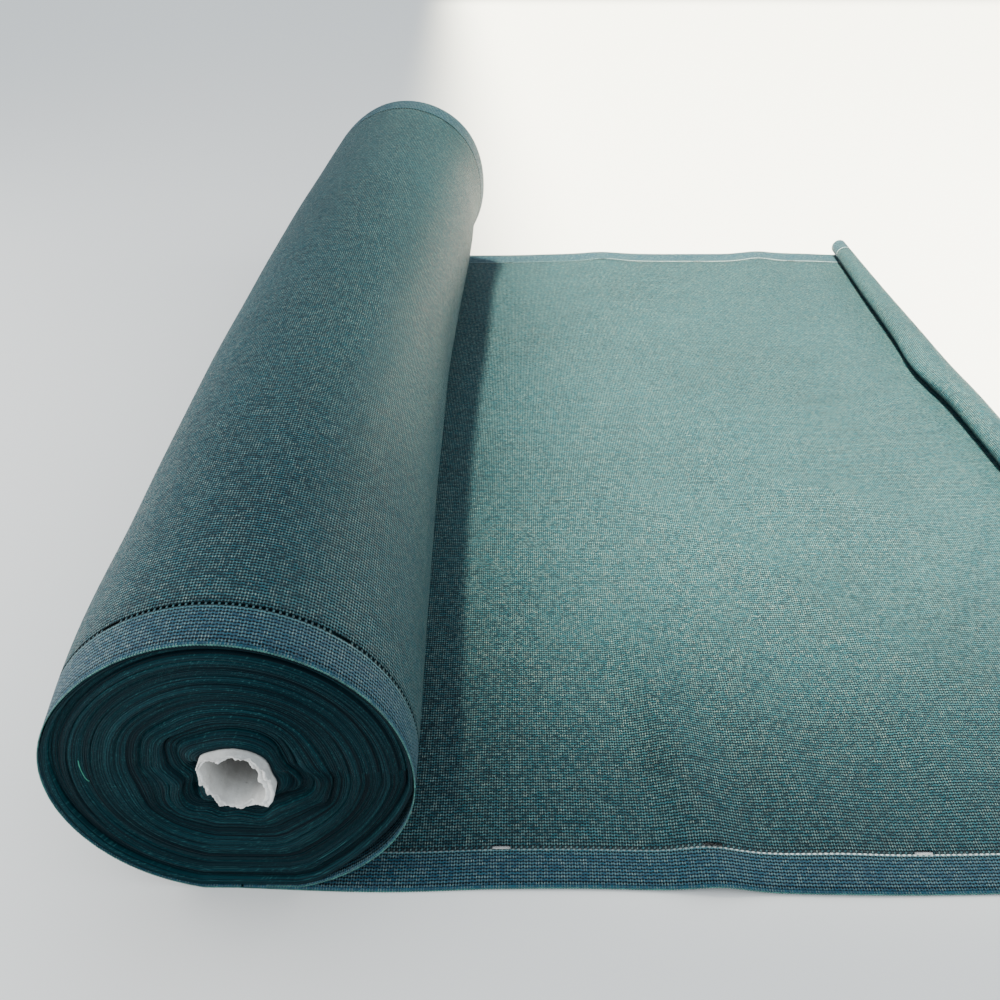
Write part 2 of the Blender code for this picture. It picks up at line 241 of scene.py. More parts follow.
class Groove(NamedTuple):
    """A dark ring where groups of turns stand apart: its reach, its depth and its half width."""

    reach: float
    depth: float
    half_width: float


GROOVES = (
    Groove(0.957, 0.0070, 0.010),
    Groove(0.908, 0.0030, 0.009),
    Groove(0.845, 0.0034, 0.009),
    Groove(0.772, 0.0026, 0.009),
    Groove(0.700, 0.0020, 0.008),
    Groove(0.622, 0.0028, 0.009),
    Groove(0.545, 0.0032, 0.009),
    Groove(0.470, 0.0026, 0.009),
    Groove(0.385, 0.0040, 0.010),
    Groove(0.300, 0.0036, 0.010),
    Groove(0.215, 0.0046, 0.010),
    Groove(0.130, 0.0046, 0.011),
)


class Crescent(NamedTuple):
    """The gap under the loosened turn at one angle, at the near end, the middle and the far end."""

    degrees: float
    near: float
    middle: float
    far: float


CRESCENT = (
    Crescent(-67.0, 0.0000, 0.0000, 0.0000),
    Crescent(-61.0, 0.0048, 0.0030, 0.0040),
    Crescent(-54.0, 0.0086, 0.0050, 0.0070),
    Crescent(-46.0, 0.0112, 0.0064, 0.0092),
    Crescent(-38.0, 0.0118, 0.0068, 0.0100),
    Crescent(-30.0, 0.0106, 0.0062, 0.0092),
    Crescent(-22.0, 0.0078, 0.0046, 0.0070),
    Crescent(-14.0, 0.0042, 0.0026, 0.0040),
    Crescent(-6.0, 0.0000, 0.0000, 0.0000),
)


class CoreRadius(NamedTuple):
    """The crushed core's outer radius at one angle."""

    degrees: float
    radius: float


CORE_OUTLINE = (
    CoreRadius(0.0, 0.0350),
    CoreRadius(40.0, 0.0375),
    CoreRadius(80.0, 0.0372),
    CoreRadius(115.0, 0.0380),
    CoreRadius(146.0, 0.0415),
    CoreRadius(172.0, 0.0345),
    CoreRadius(205.0, 0.0345),
    CoreRadius(240.0, 0.0375),
    CoreRadius(275.0, 0.0385),
    CoreRadius(305.0, 0.0390),
    CoreRadius(326.0, 0.0425),
)


class Crease(NamedTuple):
    """A soft ridge of the flat stretch, from a start through a middle to an end."""

    start: tuple[float, float]
    middle: tuple[float, float]
    end: tuple[float, float]
    height: float
    half_width: float


CREASES = (
    Crease((-0.045, -0.52), (-0.010, -0.74), (0.004, -0.92), 0.015, 0.040),
    Crease((0.060, -0.46), (0.075, -0.70), (0.150, -0.84), 0.007, 0.045),
    Crease((-0.010, -0.17), (0.160, -0.36), (0.360, -0.58), 0.009, 0.045),
    Crease((0.140, -0.19), (0.290, -0.09), (0.460, -0.25), 0.006, 0.040),
    Crease((0.510, -0.24), (0.420, -0.42), (0.360, -0.56), 0.006, 0.035),
    Crease((0.250, -0.58), (0.290, -0.69), (0.330, -0.80), 0.005, 0.040),
    Crease((-0.340, 0.57), (-0.290, 0.52), (-0.230, 0.44), 0.004, 0.030),
    Crease((0.000, 0.93), (0.010, 0.84), (0.030, 0.72), 0.006, 0.050),
    Crease((0.405, 0.93), (0.395, 0.84), (0.370, 0.70), 0.008, 0.045),
)


class CurlSection(NamedTuple):
    """One section of the free end's curl: its leftmost and rightmost reach and its height."""

    y: float
    left: float
    right: float
    height: float


CURL = (
    CurlSection(-0.915, 0.6410, 0.7096, 0.044),
    CurlSection(-0.600, 0.6350, 0.7050, 0.046),
    CurlSection(-0.300, 0.6270, 0.6970, 0.045),
    CurlSection(0.000, 0.6160, 0.6860, 0.045),
    CurlSection(0.130, 0.6055, 0.6790, 0.045),
    CurlSection(0.270, 0.5830, 0.6700, 0.041),
    CurlSection(0.400, 0.5865, 0.6595, 0.044),
    CurlSection(0.640, 0.5870, 0.6450, 0.043),
    CurlSection(0.915, 0.5900, 0.6310, 0.043),
)


class EdgeWave(NamedTuple):
    """How far the near and the far selvage waver at one place along the cloth."""

    x: float
    near_edge: float
    far_edge: float


EDGE_WAVES = (
    EdgeWave(-0.53, 0.000, 0.000),
    EdgeWave(-0.37, -0.004, -0.004),
    EdgeWave(-0.24, 0.000, -0.004),
    EdgeWave(-0.13, 0.001, 0.003),
    EdgeWave(0.01, -0.002, 0.008),
    EdgeWave(0.18, -0.004, 0.002),
    EdgeWave(0.31, -0.001, 0.003),
    EdgeWave(0.41, 0.002, 0.009),
    EdgeWave(0.60, 0.000, 0.004),
)


def column_of(table: tuple, name: str) -> np.ndarray:
    """Reads one named column of a table as an array.

    Args:
        table: Rows that all have a field of that name.
        name: The field's name.

    Returns:
        The column's values.
    """
    return np.array([getattr(row, name) for row in table], float)


def smooth_curve(knots: np.ndarray, values: np.ndarray, places: np.ndarray) -> np.ndarray:
    """Reads a smooth cubic through the knots at many places between them.

    Args:
        knots: The places that the values are given for, rising.
        values: One value for each knot.
        places: Where to read, of any shape.

    Returns:
        The values read, in the shape of places.
    """
    slopes = np.gradient(values, knots)
    inside = np.clip(places, knots[0], knots[-1])
    left = np.clip(np.searchsorted(knots, inside) - 1, 0, len(knots) - 2)
    step = knots[left + 1] - knots[left]
    share = (inside - knots[left]) / step
    rise = values[left + 1] - values[left]
    bend_in = slopes[left] * step - rise
    bend_out = rise - slopes[left + 1] * step
    return values[left] + rise * share + share * (1 - share) * (bend_in * (1 - share) + bend_out * share)


def angle_between(degrees: np.ndarray, other: float) -> np.ndarray:
    """Gives the turn from another angle to each angle, between -180 and 180 degrees."""
    return (degrees - other + 180.0) % 360.0 - 180.0


def wavering(places: np.ndarray, waves: tuple[tuple[float, float, float], ...]) -> np.ndarray:
    """Adds up sine waves.

    Args:
        places: Where to read.
        waves: Rows of height, waves for each unit of place, and start in radians.

    Returns:
        The sum at each place.
    """
    return sum(height * np.sin(2 * math.pi * rate * places + start) for height, rate, start in waves)


class RollForm:
    """The wound roll's outer form, as the solid has it."""

    def section(self, y: np.ndarray) -> tuple[np.ndarray, np.ndarray, np.ndarray]:
        """Gives the axis and the eight radii at places along the roll.

        Args:
            y: Places along the roll.

        Returns:
            The axis's x and z, and an array of eight radii for each place.
        """
        knots = column_of(ROLL, "y")
        names = RollStation._fields[1:]
        read = [smooth_curve(knots, column_of(ROLL, name), y) for name in names]
        return read[0], read[1], np.stack(read[2:], axis=-1)

    def points(self, y: np.ndarray, degrees: np.ndarray, inset: np.ndarray | float = 0.0) -> np.ndarray:
        """Gives points of the outer skin, or points that lie an inset inside it.

        Args:
            y: Places along the roll, one for each row.
            degrees: Angles from the right and anticlockwise, one for each column.
            inset: How far inside the skin, one value or one for each row and column.

        Returns:
            An array of rows, columns and three coordinates.
        """
        axis_x, axis_z, radii = self.section(y)
        slopes = (np.roll(radii, -1, axis=1) - np.roll(radii, 1, axis=1)) / 2
        place = (degrees % 360.0) / 45.0
        left = np.floor(place).astype(int) % 8
        share = (place - np.floor(place))[None, :]
        after = (left + 1) % 8
        rise = radii[:, after] - radii[:, left]
        bend_in = slopes[:, left] - rise
        bend_out = rise - slopes[:, after]
        bend = share * (1 - share) * (bend_in * (1 - share) + bend_out * share)
        reach = radii[:, left] + rise * share + bend - inset
        angle = np.radians(degrees)[None, :]
        x = axis_x[:, None] + reach * np.cos(angle)
        z = axis_z[:, None] + reach * np.sin(angle)
        return np.stack([x, np.broadcast_to(y[:, None], x.shape), z], axis=-1)


@dataclass(frozen=True)
class CoreForm:
    """The crushed paper core's outline, its place and its torn rims."""

    x: float = -0.498
    z: float = 0.187
    wall: float = 0.0042
    proud: float = 0.009
    tongue_length: float = 0.0045
    tongue_spread: float = 14.0
    near_tongue: float = -42.0
    far_tongue: float = 75.0

    def points(self, degrees: np.ndarray, outwards: np.ndarray | float) -> tuple[np.ndarray, np.ndarray]:
        """Gives the points that lie a distance outside the core's outer face.

        Args:
            degrees: Angles from the right and anticlockwise.
            outwards: How far outside the face.

        Returns:
            The points' x and z.
        """
        knots = column_of(CORE_OUTLINE, "degrees")
        wrapped = np.concatenate([knots - 360.0, knots, knots + 360.0])
        radii = np.tile(column_of(CORE_OUTLINE, "radius"), 3)
        reach = smooth_curve(wrapped, radii, degrees % 360.0) + outwards
        angle = np.radians(degrees)
        return self.x + reach * np.cos(angle), self.z + reach * np.sin(angle)

    def rim(self, degrees: np.ndarray, end: End) -> np.ndarray:
        """Gives how far the torn rim stands proud of the roll at an end."""
        angle = np.radians(degrees)
        start = 1.3 * end.value
        ragged = 0.0016 * np.sin(5 * angle + start) + 0.0012 * np.sin(11 * angle + 0.7 * end.value)
        tongue = self.near_tongue if end is End.NEAR else self.far_tongue
        away = angle_between(degrees, tongue)
        return self.proud + ragged + self.tongue_length * np.exp(-(away / self.tongue_spread) ** 2)


@dataclass(frozen=True)
class StretchForm:
    """The flat stretch with its creases, its wavering selvages and its curled free end."""

    start_x: float = -0.5216
    square_to_x: float = 0.52
    creases_from_x: float = -0.32
    crease_fade: float = 0.07
    curl_start: float = -90.0
    curl_end: float = 248.0
    curl_shrink: float = 0.22

    def lift(self, x: np.ndarray, y: np.ndarray) -> np.ndarray:
        """Adds up how far the creases lift the cloth off the floor."""
        total = np.zeros_like(x)
        for crease in CREASES:
            nearest = np.full_like(x, 9.0)
            along = np.zeros_like(x)
            for t in np.linspace(0.0, 1.0, 25):
                weights = ((1 - t) ** 2, 2 * t * (1 - t), t**2)
                knots = (crease.start, crease.middle, crease.end)
                line_x = sum(w * p[0] for w, p in zip(weights, knots))
                line_y = sum(w * p[1] for w, p in zip(weights, knots))
                away = np.hypot(x - line_x, y - line_y)
                along = np.where(away < nearest, t, along)
                nearest = np.minimum(away, nearest)
            taper = 0.55 + 0.45 * np.sin(math.pi * along)
            total += crease.height * taper * np.exp(-(nearest / crease.half_width) ** 2)
        return total

    def ripple(self, x: np.ndarray, y: np.ndarray) -> np.ndarray:
        """Gives the fine unevenness of the cloth between its creases, never below zero."""
        slow = np.sin(5.1 * x + 2.3 * y + 0.6) * np.sin(3.7 * y - 1.9 * x + 1.1)
        quick = np.sin(13.0 * x - 9.0 * y + 0.4) * np.sin(8.0 * x + 11.0 * y + 2.0)
        return 0.0009 * (1 + slow) + 0.0005 * (1 + quick)

    def edge_shift(self, x: np.ndarray, y: np.ndarray) -> np.ndarray:
        """Gives how far points move along the roll's axis, because the selvages waver."""
        knots = column_of(EDGE_WAVES, "x")
        near = smooth_curve(knots, column_of(EDGE_WAVES, "near_edge"), x)
        far = smooth_curve(knots, column_of(EDGE_WAVES, "far_edge"), x)
        share = (y + CLOTH.half_width) / CLOTH.width
        return near * (1 - share) ** 3 + far * share**3

    def points(self, y: np.ndarray, flat_x: np.ndarray, curl_share: np.ndarray) -> np.ndarray:
        """Gives points of the cloth's outer face, first along the floor and then round the curl.

        Args:
            y: Places across the cloth, one for each row.
            flat_x: Places along the floor, of which those past square_to_x are stretched to the curl.
            curl_share: How far round the curl, from 0 to 1.

        Returns:
            An array of rows, columns and three coordinates.
        """
        knots = column_of(CURL, "y")
        left, right, height = (
            smooth_curve(knots, column_of(CURL, name), y)[:, None] for name in ("left", "right", "height")
        )
        middle = (left + right) / 2
        half = (right - left) / 2
        past = np.clip((flat_x - self.square_to_x) / (flat_x[-1] - self.square_to_x), 0.0, None)[None, :]
        x = np.where(past > 0, self.square_to_x + (middle - self.square_to_x) * past, flat_x[None, :])
        across = np.broadcast_to(y[:, None], x.shape)
        settle = np.clip((x - self.creases_from_x) / self.crease_fade, 0.0, 1.0)
        calm = np.clip((left - x) / self.crease_fade, 0.0, 1.0)
        z = (self.lift(x, across) + self.ripple(x, across)) * settle * calm
        flat = np.stack([x, across + self.edge_shift(x, across), z], axis=-1)
        angle = np.radians(self.curl_start + (self.curl_end - self.curl_start) * curl_share)[None, :]
        reach = 1 - self.curl_shrink * curl_share[None, :]
        curl_x = middle + half * reach * np.cos(angle)
        curl_z = height / 2 + height / 2 * reach * np.sin(angle)
        curl_y = np.broadcast_to(y[:, None] + self.edge_shift(middle, y[:, None]), curl_x.shape)
        return np.concatenate([flat, np.stack([curl_x, curl_y, curl_z], axis=-1)], axis=1)


class MeshDraft:
    """Collects a mesh's points, its faces and its faces' places on the cloth."""

    def __init__(self) -> None:
        """Starts empty."""
        self.points: list[np.ndarray] = []
        self.faces: list[np.ndarray] = []
        self.places: list[np.ndarray] = []
        self.count = 0

    def grid(
        self,
        points: np.ndarray,
        places: np.ndarray,
        keep: np.ndarray | None = None,
        flip: bool = False,
    ) -> None:
        """Adds a grid of quads.

        Args:
            points: Rows, columns and three coordinates.
            places: Rows, columns and the two coordinates of the material's own map.
            keep: Which quads to keep, one for each row and column but the last.
            flip: Whether the faces turn the other way.
        """
        rows, columns = points.shape[:2]
        index = np.arange(rows * columns).reshape(rows, columns)
        corners = [index[:-1, :-1], index[:-1, 1:], index[1:, 1:], index[1:, :-1]]
        quads = np.stack(corners[::-1] if flip else corners, axis=-1).reshape(-1, 4)
        if keep is not None:
            quads = quads[keep.reshape(-1)]
        self.points.append(points.reshape(-1, 3))
        self.faces.append(quads + self.count)
        self.places.append(places.reshape(-1, 2)[quads].reshape(-1, 2))
        self.count += rows * columns

    def piece(self, name: str, weld: float = 1e-6, smooth: bool = True) -> bpy.types.Object:
        """Makes the object, with its doubled points merged.

        Args:
            name: The object's name.
            weld: Points closer than this are merged.
            smooth: Whether its faces are shaded smooth.

        Returns:
            The object, linked to the scene.
        """
        points = np.concatenate(self.points)
        faces = np.concatenate(self.faces)
        mesh = bpy.data.meshes.new(name)
        mesh.from_pydata(points.tolist(), [], faces.tolist())
        layer = mesh.uv_layers.new(name="cloth")
        layer.data.foreach_set("uv", np.concatenate(self.places).astype(np.float32).ravel())
        builder = bmesh.new()
        builder.from_mesh(mesh)
        bmesh.ops.remove_doubles(builder, verts=builder.verts, dist=weld)
        loose = [vertex for vertex in builder.verts if not vertex.link_faces]
        bmesh.ops.delete(builder, geom=loose, context="VERTS")
        builder.to_mesh(mesh)
        builder.free()
        if smooth:
            mesh.shade_smooth()
        piece = bpy.data.objects.new(name, mesh)
        bpy.context.scene.collection.objects.link(piece)
        return piece


def thicken(piece: bpy.types.Object, thickness: float, offset: float) -> None:
    """Gives a sheet its thickness with a Solidify modifier.

    Args:
        piece: The sheet.
        thickness: Its thickness.
        offset: 1 to grow along its normals, -1 to grow against them.
    """
    solidify = piece.modifiers.new("thickness", "SOLIDIFY")
    solidify.thickness = thickness
    solidify.offset = offset
    solidify.use_even_offset = False


def arc_lengths(points: np.ndarray) -> np.ndarray:
    """Gives how far along a line each of its points lies."""
    steps = np.linalg.norm(np.diff(points, axis=0), axis=1)
    return np.concatenate([[0.0], np.cumsum(steps)])


def rows_across() -> np.ndarray:
    """Gives the places across the cloth where a sheet has a line of points, the ladder rows' edges too."""
    evenly = np.linspace(-CLOTH.half_width, CLOTH.half_width, 121)
    ladder = [side * (CLOTH.ladder_y + edge * CLOTH.ladder_half) for side in (-1, 1) for edge in (-1, 1)]
    clear = [y for y in evenly if min(abs(abs(y) - CLOTH.ladder_y) for _ in (0,)) > 2.5 * CLOTH.ladder_half]
    return np.array(sorted(clear + ladder))


def off_ladder(y: np.ndarray, columns: int) -> np.ndarray:
    """Says which quads of a sheet to keep: all but those that bridge a ladder row.

    Args:
        y: The sheet's rows across the cloth.
        columns: How many columns of points the sheet has.

    Returns:
        One truth for each quad.
    """
    middles = (y[:-1] + y[1:]) / 2
    open_rows = np.abs(np.abs(middles) - CLOTH.ladder_y) < CLOTH.ladder_half
    return np.repeat(~open_rows[:, None], columns - 1, axis=1)


class Guide(NamedTuple):
    """Places for stitches: their points, the direction that each lies in, and outwards from the cloth."""

    points: np.ndarray
    along: np.ndarray
    outward: np.ndarray


def guide_on(line: np.ndarray, across: np.ndarray, pitch: float, crosswise: bool, skip: Callable) -> Guide:
    """Sets places along a line at an even pitch.

    Args:
        line: The line's points.
        across: The direction across the cloth.
        pitch: How far apart the places are.
        crosswise: Whether the stitches lie across the line and not along it.
        skip: Says which points have no stitch.

    Returns:
        The guide.
    """
    lengths = arc_lengths(line)
    count = int(lengths[-1] / pitch)
    stops = (np.arange(count) + 0.5) * pitch
    points = np.stack([np.interp(stops, lengths, line[:, axis]) for axis in range(3)], axis=-1)
    ahead = np.stack([np.interp(stops + pitch / 4, lengths, line[:, axis]) for axis in range(3)], axis=-1)
    behind = np.stack([np.interp(stops - pitch / 4, lengths, line[:, axis]) for axis in range(3)], axis=-1)
    tangent = ahead - behind
    tangent /= np.linalg.norm(tangent, axis=1, keepdims=True)
    sideways = np.broadcast_to(across, tangent.shape)
    outward = np.cross(tangent, sideways)
    keep = ~skip(points)
    direction = sideways if crosswise else tangent
    return Guide(points[keep], direction[keep], outward[keep])


def no_skip(points: np.ndarray) -> np.ndarray:
    """Skips no place of a guide."""
    return np.zeros(len(points), bool)


def slot_skip(points: np.ndarray) -> np.ndarray:
    """Says which points lie in a long slot of the roll's outer turn."""
    degrees = np.degrees(np.arctan2(points[:, 2] - 0.186, points[:, 0] + 0.509))
    away = np.min([np.abs(angle_between(degrees, slot)) for slot in CLOTH.roll_slots], axis=0)
    return np.radians(away) * 0.19 < CLOTH.slot_length / 2


@dataclass
class OuterTurn:
    """The last turn of cloth, from the floor up the roll's left, over it and down its right."""

    roll: RollForm
    first_degrees: float = 266.5
    last_degrees: float = -86.0
    columns: int = 200
    tucked_height: float = 0.0022
    resting_height: float = 0.0

    def surface(self, y: np.ndarray, degrees: np.ndarray) -> np.ndarray:
        """Gives points of the turn's outer face.

        Args:
            y: Places across the cloth.
            degrees: Angles round the roll.

        Returns:
            An array of rows, columns and three coordinates.
        """
        dent = wavering(y, ((0.0003, 1.7, 0.4), (0.0002, 3.1, 2.0)))[:, None]
        dent = dent + wavering(degrees / 360.0, ((0.0003, 3.0, 1.0), (0.0002, 7.0, 0.3)))[None, :]
        points = self.roll.points(y, degrees, 0.0008 + dent)
        tucked = degrees < 0
        lowest = np.where(tucked, self.tucked_height, self.resting_height)[None, :]
        points[..., 2] = np.maximum(points[..., 2], lowest)
        return points

    def build(self) -> bpy.types.Object:
        """Builds the turn as a thin sheet with open ladder rows."""
        y = rows_across()
        degrees = np.linspace(self.first_degrees, self.last_degrees, self.columns)
        points = self.surface(y, degrees)
        lengths = arc_lengths(points[len(y) // 2])
        places = np.stack(np.broadcast_arrays(lengths[None, :], y[:, None]), axis=-1)
        draft = MeshDraft()
        draft.grid(points, places, keep=off_ladder(y, self.columns))
        piece = draft.piece("outer_turn")
        thicken(piece, CLOTH.thickness, -1.0)
        return piece

    def line(self, y: float, inset: float) -> np.ndarray:
        """Gives a line round the turn at a place across the cloth, an inset below its outer face."""
        degrees = np.linspace(self.first_degrees, self.last_degrees, 1400)
        points = self.surface(np.array([y]), degrees)[0]
        axis_x, axis_z, _ = self.roll.section(np.array([y]))
        inwards = np.stack([axis_x - points[:, 0], np.zeros(len(points)), axis_z - points[:, 2]], axis=-1)
        inwards /= np.linalg.norm(inwards, axis=1, keepdims=True)
        return points + inwards * inset

    def length(self) -> float:
        """Gives how long the turn's cloth is."""
        return float(arc_lengths(self.line(0.0, 0.0))[-1])


@dataclass
class FlatStretch:
    """The unrolled cloth on the floor, its creases and its free end curled back over itself."""

    form: StretchForm
    column_step: float = 0.0095
    curl_columns: int = 56

    def flat_columns(self) -> np.ndarray:
        """Gives the places along the floor where the sheet has a column, the slots' ends among them."""
        evenly = np.arange(self.form.start_x, 0.66, self.column_step)
        ends = [0.5, 0.46, 0.36]
        marks = [x + side * CLOTH.slot_length * end for x in CLOTH.slot_places() for side in (-1, 1) for end in ends]
        clear = [x for x in evenly if min(abs(x - mark) for mark in marks) > 0.0022]
        return np.array(sorted(clear + marks))

    def widen_slots(self, points: np.ndarray, y: np.ndarray) -> None:
        """Moves the ladder rows' edges apart where a long slot is.

        Args:
            points: The sheet's points, which are changed.
            y: The sheet's rows across the cloth.
        """
        spare = CLOTH.slot_half - CLOTH.ladder_half
        for row, place in enumerate(y):
            beside = abs(place) - CLOTH.ladder_y
            if abs(abs(beside) - CLOTH.ladder_half) > 1e-6:
                continue
            side = math.copysign(1.0, beside) * math.copysign(1.0, place)
            for slot_x in CLOTH.slot_places():
                away = np.abs(points[row, :, 0] - slot_x) / (CLOTH.slot_length / 2)
                opening = np.clip((1.0 - away) / 0.28, 0.0, 1.0) ** 0.5
                points[row, :, 1] += side * spare * opening

    def grid(self, y: np.ndarray) -> np.ndarray:
        """Gives the sheet's points at rows across the cloth."""
        curl_share = np.linspace(0.0, 1.0, self.curl_columns + 1)[1:]
        return self.form.points(y, self.flat_columns(), curl_share)

    def build(self) -> bpy.types.Object:
        """Builds the stretch as a thin sheet with open ladder rows and long slots."""
        y = rows_across()
        points = self.grid(y)
        lengths = arc_lengths(points[len(y) // 2])
        self.widen_slots(points, y)
        places = np.stack(np.broadcast_arrays(-lengths[None, :], y[:, None]), axis=-1)
        middle_x = (points[0, 1:, 0] + points[0, :-1, 0]) / 2
        to_slot = np.min([np.abs(middle_x - place) for place in CLOTH.slot_places()], axis=0)
        in_slot = (to_slot < CLOTH.slot_length / 2) & (points[0, 1:, 2] < 0.03)
        draft = MeshDraft()
        draft.grid(points, places, keep=off_ladder(y, points.shape[1]) | ~in_slot[None, :])
        piece = draft.piece("flat_stretch")
        thicken(piece, CLOTH.thickness, 1.0)
        return piece

    def line(self, y: float, inset: float) -> np.ndarray:
        """Gives a line along the stretch at a place across it, an inset inside its outer face."""
        points = self.grid(np.array([y]))[0]
        tangent = np.gradient(points, axis=0)
        tangent /= np.linalg.norm(tangent, axis=1, keepdims=True)
        normal = np.cross(tangent, np.array([0.0, 1.0, 0.0]))
        return points + normal * inset

    def length(self) -> float:
        """Gives how long the stretch's cloth is."""
        return float(arc_lengths(self.line(0.0, 0.0))[-1])


@dataclass
class WoundTurns:
    """The turns inside the outer one, from one end to the middle, with a spiral relief at the end."""

    end: End
    roll: RollForm
    core: CoreForm
    seed: int
    turns: int = 62
    rows_per_turn: int = 4
    columns: int = 240
    skin_rows: int = 14
    skin_inset: float = 0.0034
    lowest: float = 0.0040
    bore_clearance: float = 0.0004

    def skin_insets(self, y: np.ndarray, degrees: np.ndarray) -> np.ndarray:
        """Gives how far the skin lies under the roll's outer face, more where the last turn is loose."""
        knots = column_of(CRESCENT, "degrees")
        turned = angle_between(degrees, 0.0)
        gaps = [smooth_curve(knots, column_of(CRESCENT, name), turned) for name in ("near", "middle", "far")]
        share = np.clip(y / CLOTH.half_width, -1.0, 1.0)[:, None]
        beyond = np.where(share < 0, gaps[0][None, :], gaps[2][None, :])
        gap = gaps[1][None, :] + (beyond - gaps[1][None, :]) * share**2
        return self.skin_inset + np.maximum(gap, 0.0)

    def push(self, degrees: np.ndarray, reach: np.ndarray) -> np.ndarray:
        """Adds up how far the folds press the turns outwards.

        Args:
            degrees: Angles round the roll.
            reach: Places from the bore, 0, to the rim, 1, in the same shape.

        Returns:
            The push at each place.
        """
        rings = smooth_curve(column_of(END_RINGS, "reach"), column_of(END_RINGS, "bunch"), reach)
        total = np.zeros_like(reach)
        for bunch in BUNCHES:
            total += rings * bunch.push * np.exp(-(angle_between(degrees, bunch.degrees) / bunch.spread) ** 2)
        for pleat in PLEATS:
            around = angle_between(degrees, pleat.degrees) / pleat.spread_degrees
            outwards = (reach - pleat.reach) / pleat.spread_reach
            total += pleat.push * np.exp(-around**2 - outwards**2)
        return total * np.clip(reach / 0.03, 0.0, 1.0) * np.clip((1.0 - reach) / 0.1, 0.0, 1.0)

    def depth(self, degrees: np.ndarray, turn: np.ndarray, phase_row: np.ndarray) -> np.ndarray:
        """Gives how far the end's relief is sunk.

        Args:
            degrees: Angles round the roll.
            turn: How many turns out from the bore, in the same shape.
            phase_row: Which row of its turn a point is in, in the same shape.

        Returns:
            The depth at each place.
        """
        reach = turn / self.turns
        name = "near_depth" if self.end is End.NEAR else "far_depth"
        broad = smooth_curve(column_of(END_RINGS, "reach"), column_of(END_RINGS, name), reach)
        random = np.random.default_rng(self.seed)
        knots = np.arange(-2.0, self.turns + 3.0)
        steps = random.normal(0.0, 1.0, len(knots))
        grouped = np.convolve(random.normal(0.0, 1.0, len(knots) + 4), np.ones(5) / 2.2, mode="valid")
        swing = np.convolve(random.normal(0.0, 1.0, len(knots) + 4), np.ones(5) / 2.2, mode="valid")
        start = random.uniform(0.0, 2 * math.pi)
        angle = np.radians(degrees)
        single = np.interp(turn, knots, steps) * 0.00035
        group = np.interp(turn, knots, grouped) * 0.0007
        tilt = np.interp(turn, knots, swing) * 0.0006 * np.sin(angle + start)
        groove_depth = 0.0011 + 0.0007 * np.interp(turn, knots, np.abs(steps))
        groove = np.choose(phase_row, (1.0, 0.25, 0.0, 0.4)) * groove_depth
        pits = np.zeros_like(turn)
        for hollow in HOLLOWS:
            around = angle_between(degrees, hollow.degrees) / hollow.spread_degrees
            outwards = (reach - hollow.reach) / hollow.spread_reach
            pits += hollow.depth * np.exp(-around**2 - outwards**2)
        pits = pits if self.end is End.NEAR else pits * 0.4
        for ring in GROOVES:
            around = 0.75 + 0.25 * np.sin(angle * 2 + 40 * ring.reach)
            pits += ring.depth * around * np.exp(-(((reach - ring.reach) / ring.half_width) ** 2))
        uneven = (single + group + tilt) * np.clip((1.0 - reach) / 0.04, 0.0, 1.0)
        return np.maximum(broad + uneven + 0.001, 0.0005) + groove + pits

    def relief(self) -> tuple[np.ndarray, np.ndarray]:
        """Gives the spiral relief, its columns run once round and past the start by one row's shift.

        Returns:
            The points and their places: the turn's length and the count of turns.
        """
        rows = self.rows_per_turn * (self.turns + 1) + 1
        row = np.arange(rows)[:, None]
        column = np.arange(self.columns + 1)[None, :]
        degrees = np.broadcast_to(360.0 * column / self.columns, (rows, self.columns + 1))
        turn = np.clip(row / self.rows_per_turn + column / self.columns - 1.0, 0.0, float(self.turns))
        phase_row = np.broadcast_to(row % self.rows_per_turn, turn.shape)
        reach = turn / self.turns
        depth = self.depth(degrees, turn, phase_row)
        at_edge = (turn <= 0.0) | (turn >= self.turns)
        depth = np.where(at_edge, np.where(turn <= 0.0, depth + 0.001, 0.0012), depth)
        y_rim = self.end.value * CLOTH.half_width
        inner_x, inner_z = self.core.points(degrees, self.bore_clearance)
        angles = 360.0 * np.arange(self.columns + 1) / self.columns
        rim = self.rim_points(np.array([y_rim]), angles)[0]
        push = self.push(degrees, reach)
        x = inner_x + (rim[None, :, 0] - inner_x) * reach + push * np.cos(np.radians(degrees))
        z = inner_z + (rim[None, :, 2] - inner_z) * reach + push * np.sin(np.radians(degrees))
        points = np.stack([x, y_rim - self.end.value * depth, z], axis=-1)
        radius = np.hypot(x - self.core.x, z - self.core.z)
        places = np.stack([np.radians(degrees) * radius, turn], axis=-1)
        return points, places

    def rim_points(self, y: np.ndarray, degrees: np.ndarray) -> np.ndarray:
        """Gives the skin's points, raised where they would reach under the cloth below the roll."""
        points = self.roll.points(y, degrees, self.skin_insets(y, degrees))
        points[..., 2] = np.maximum(points[..., 2], self.lowest)
        return points

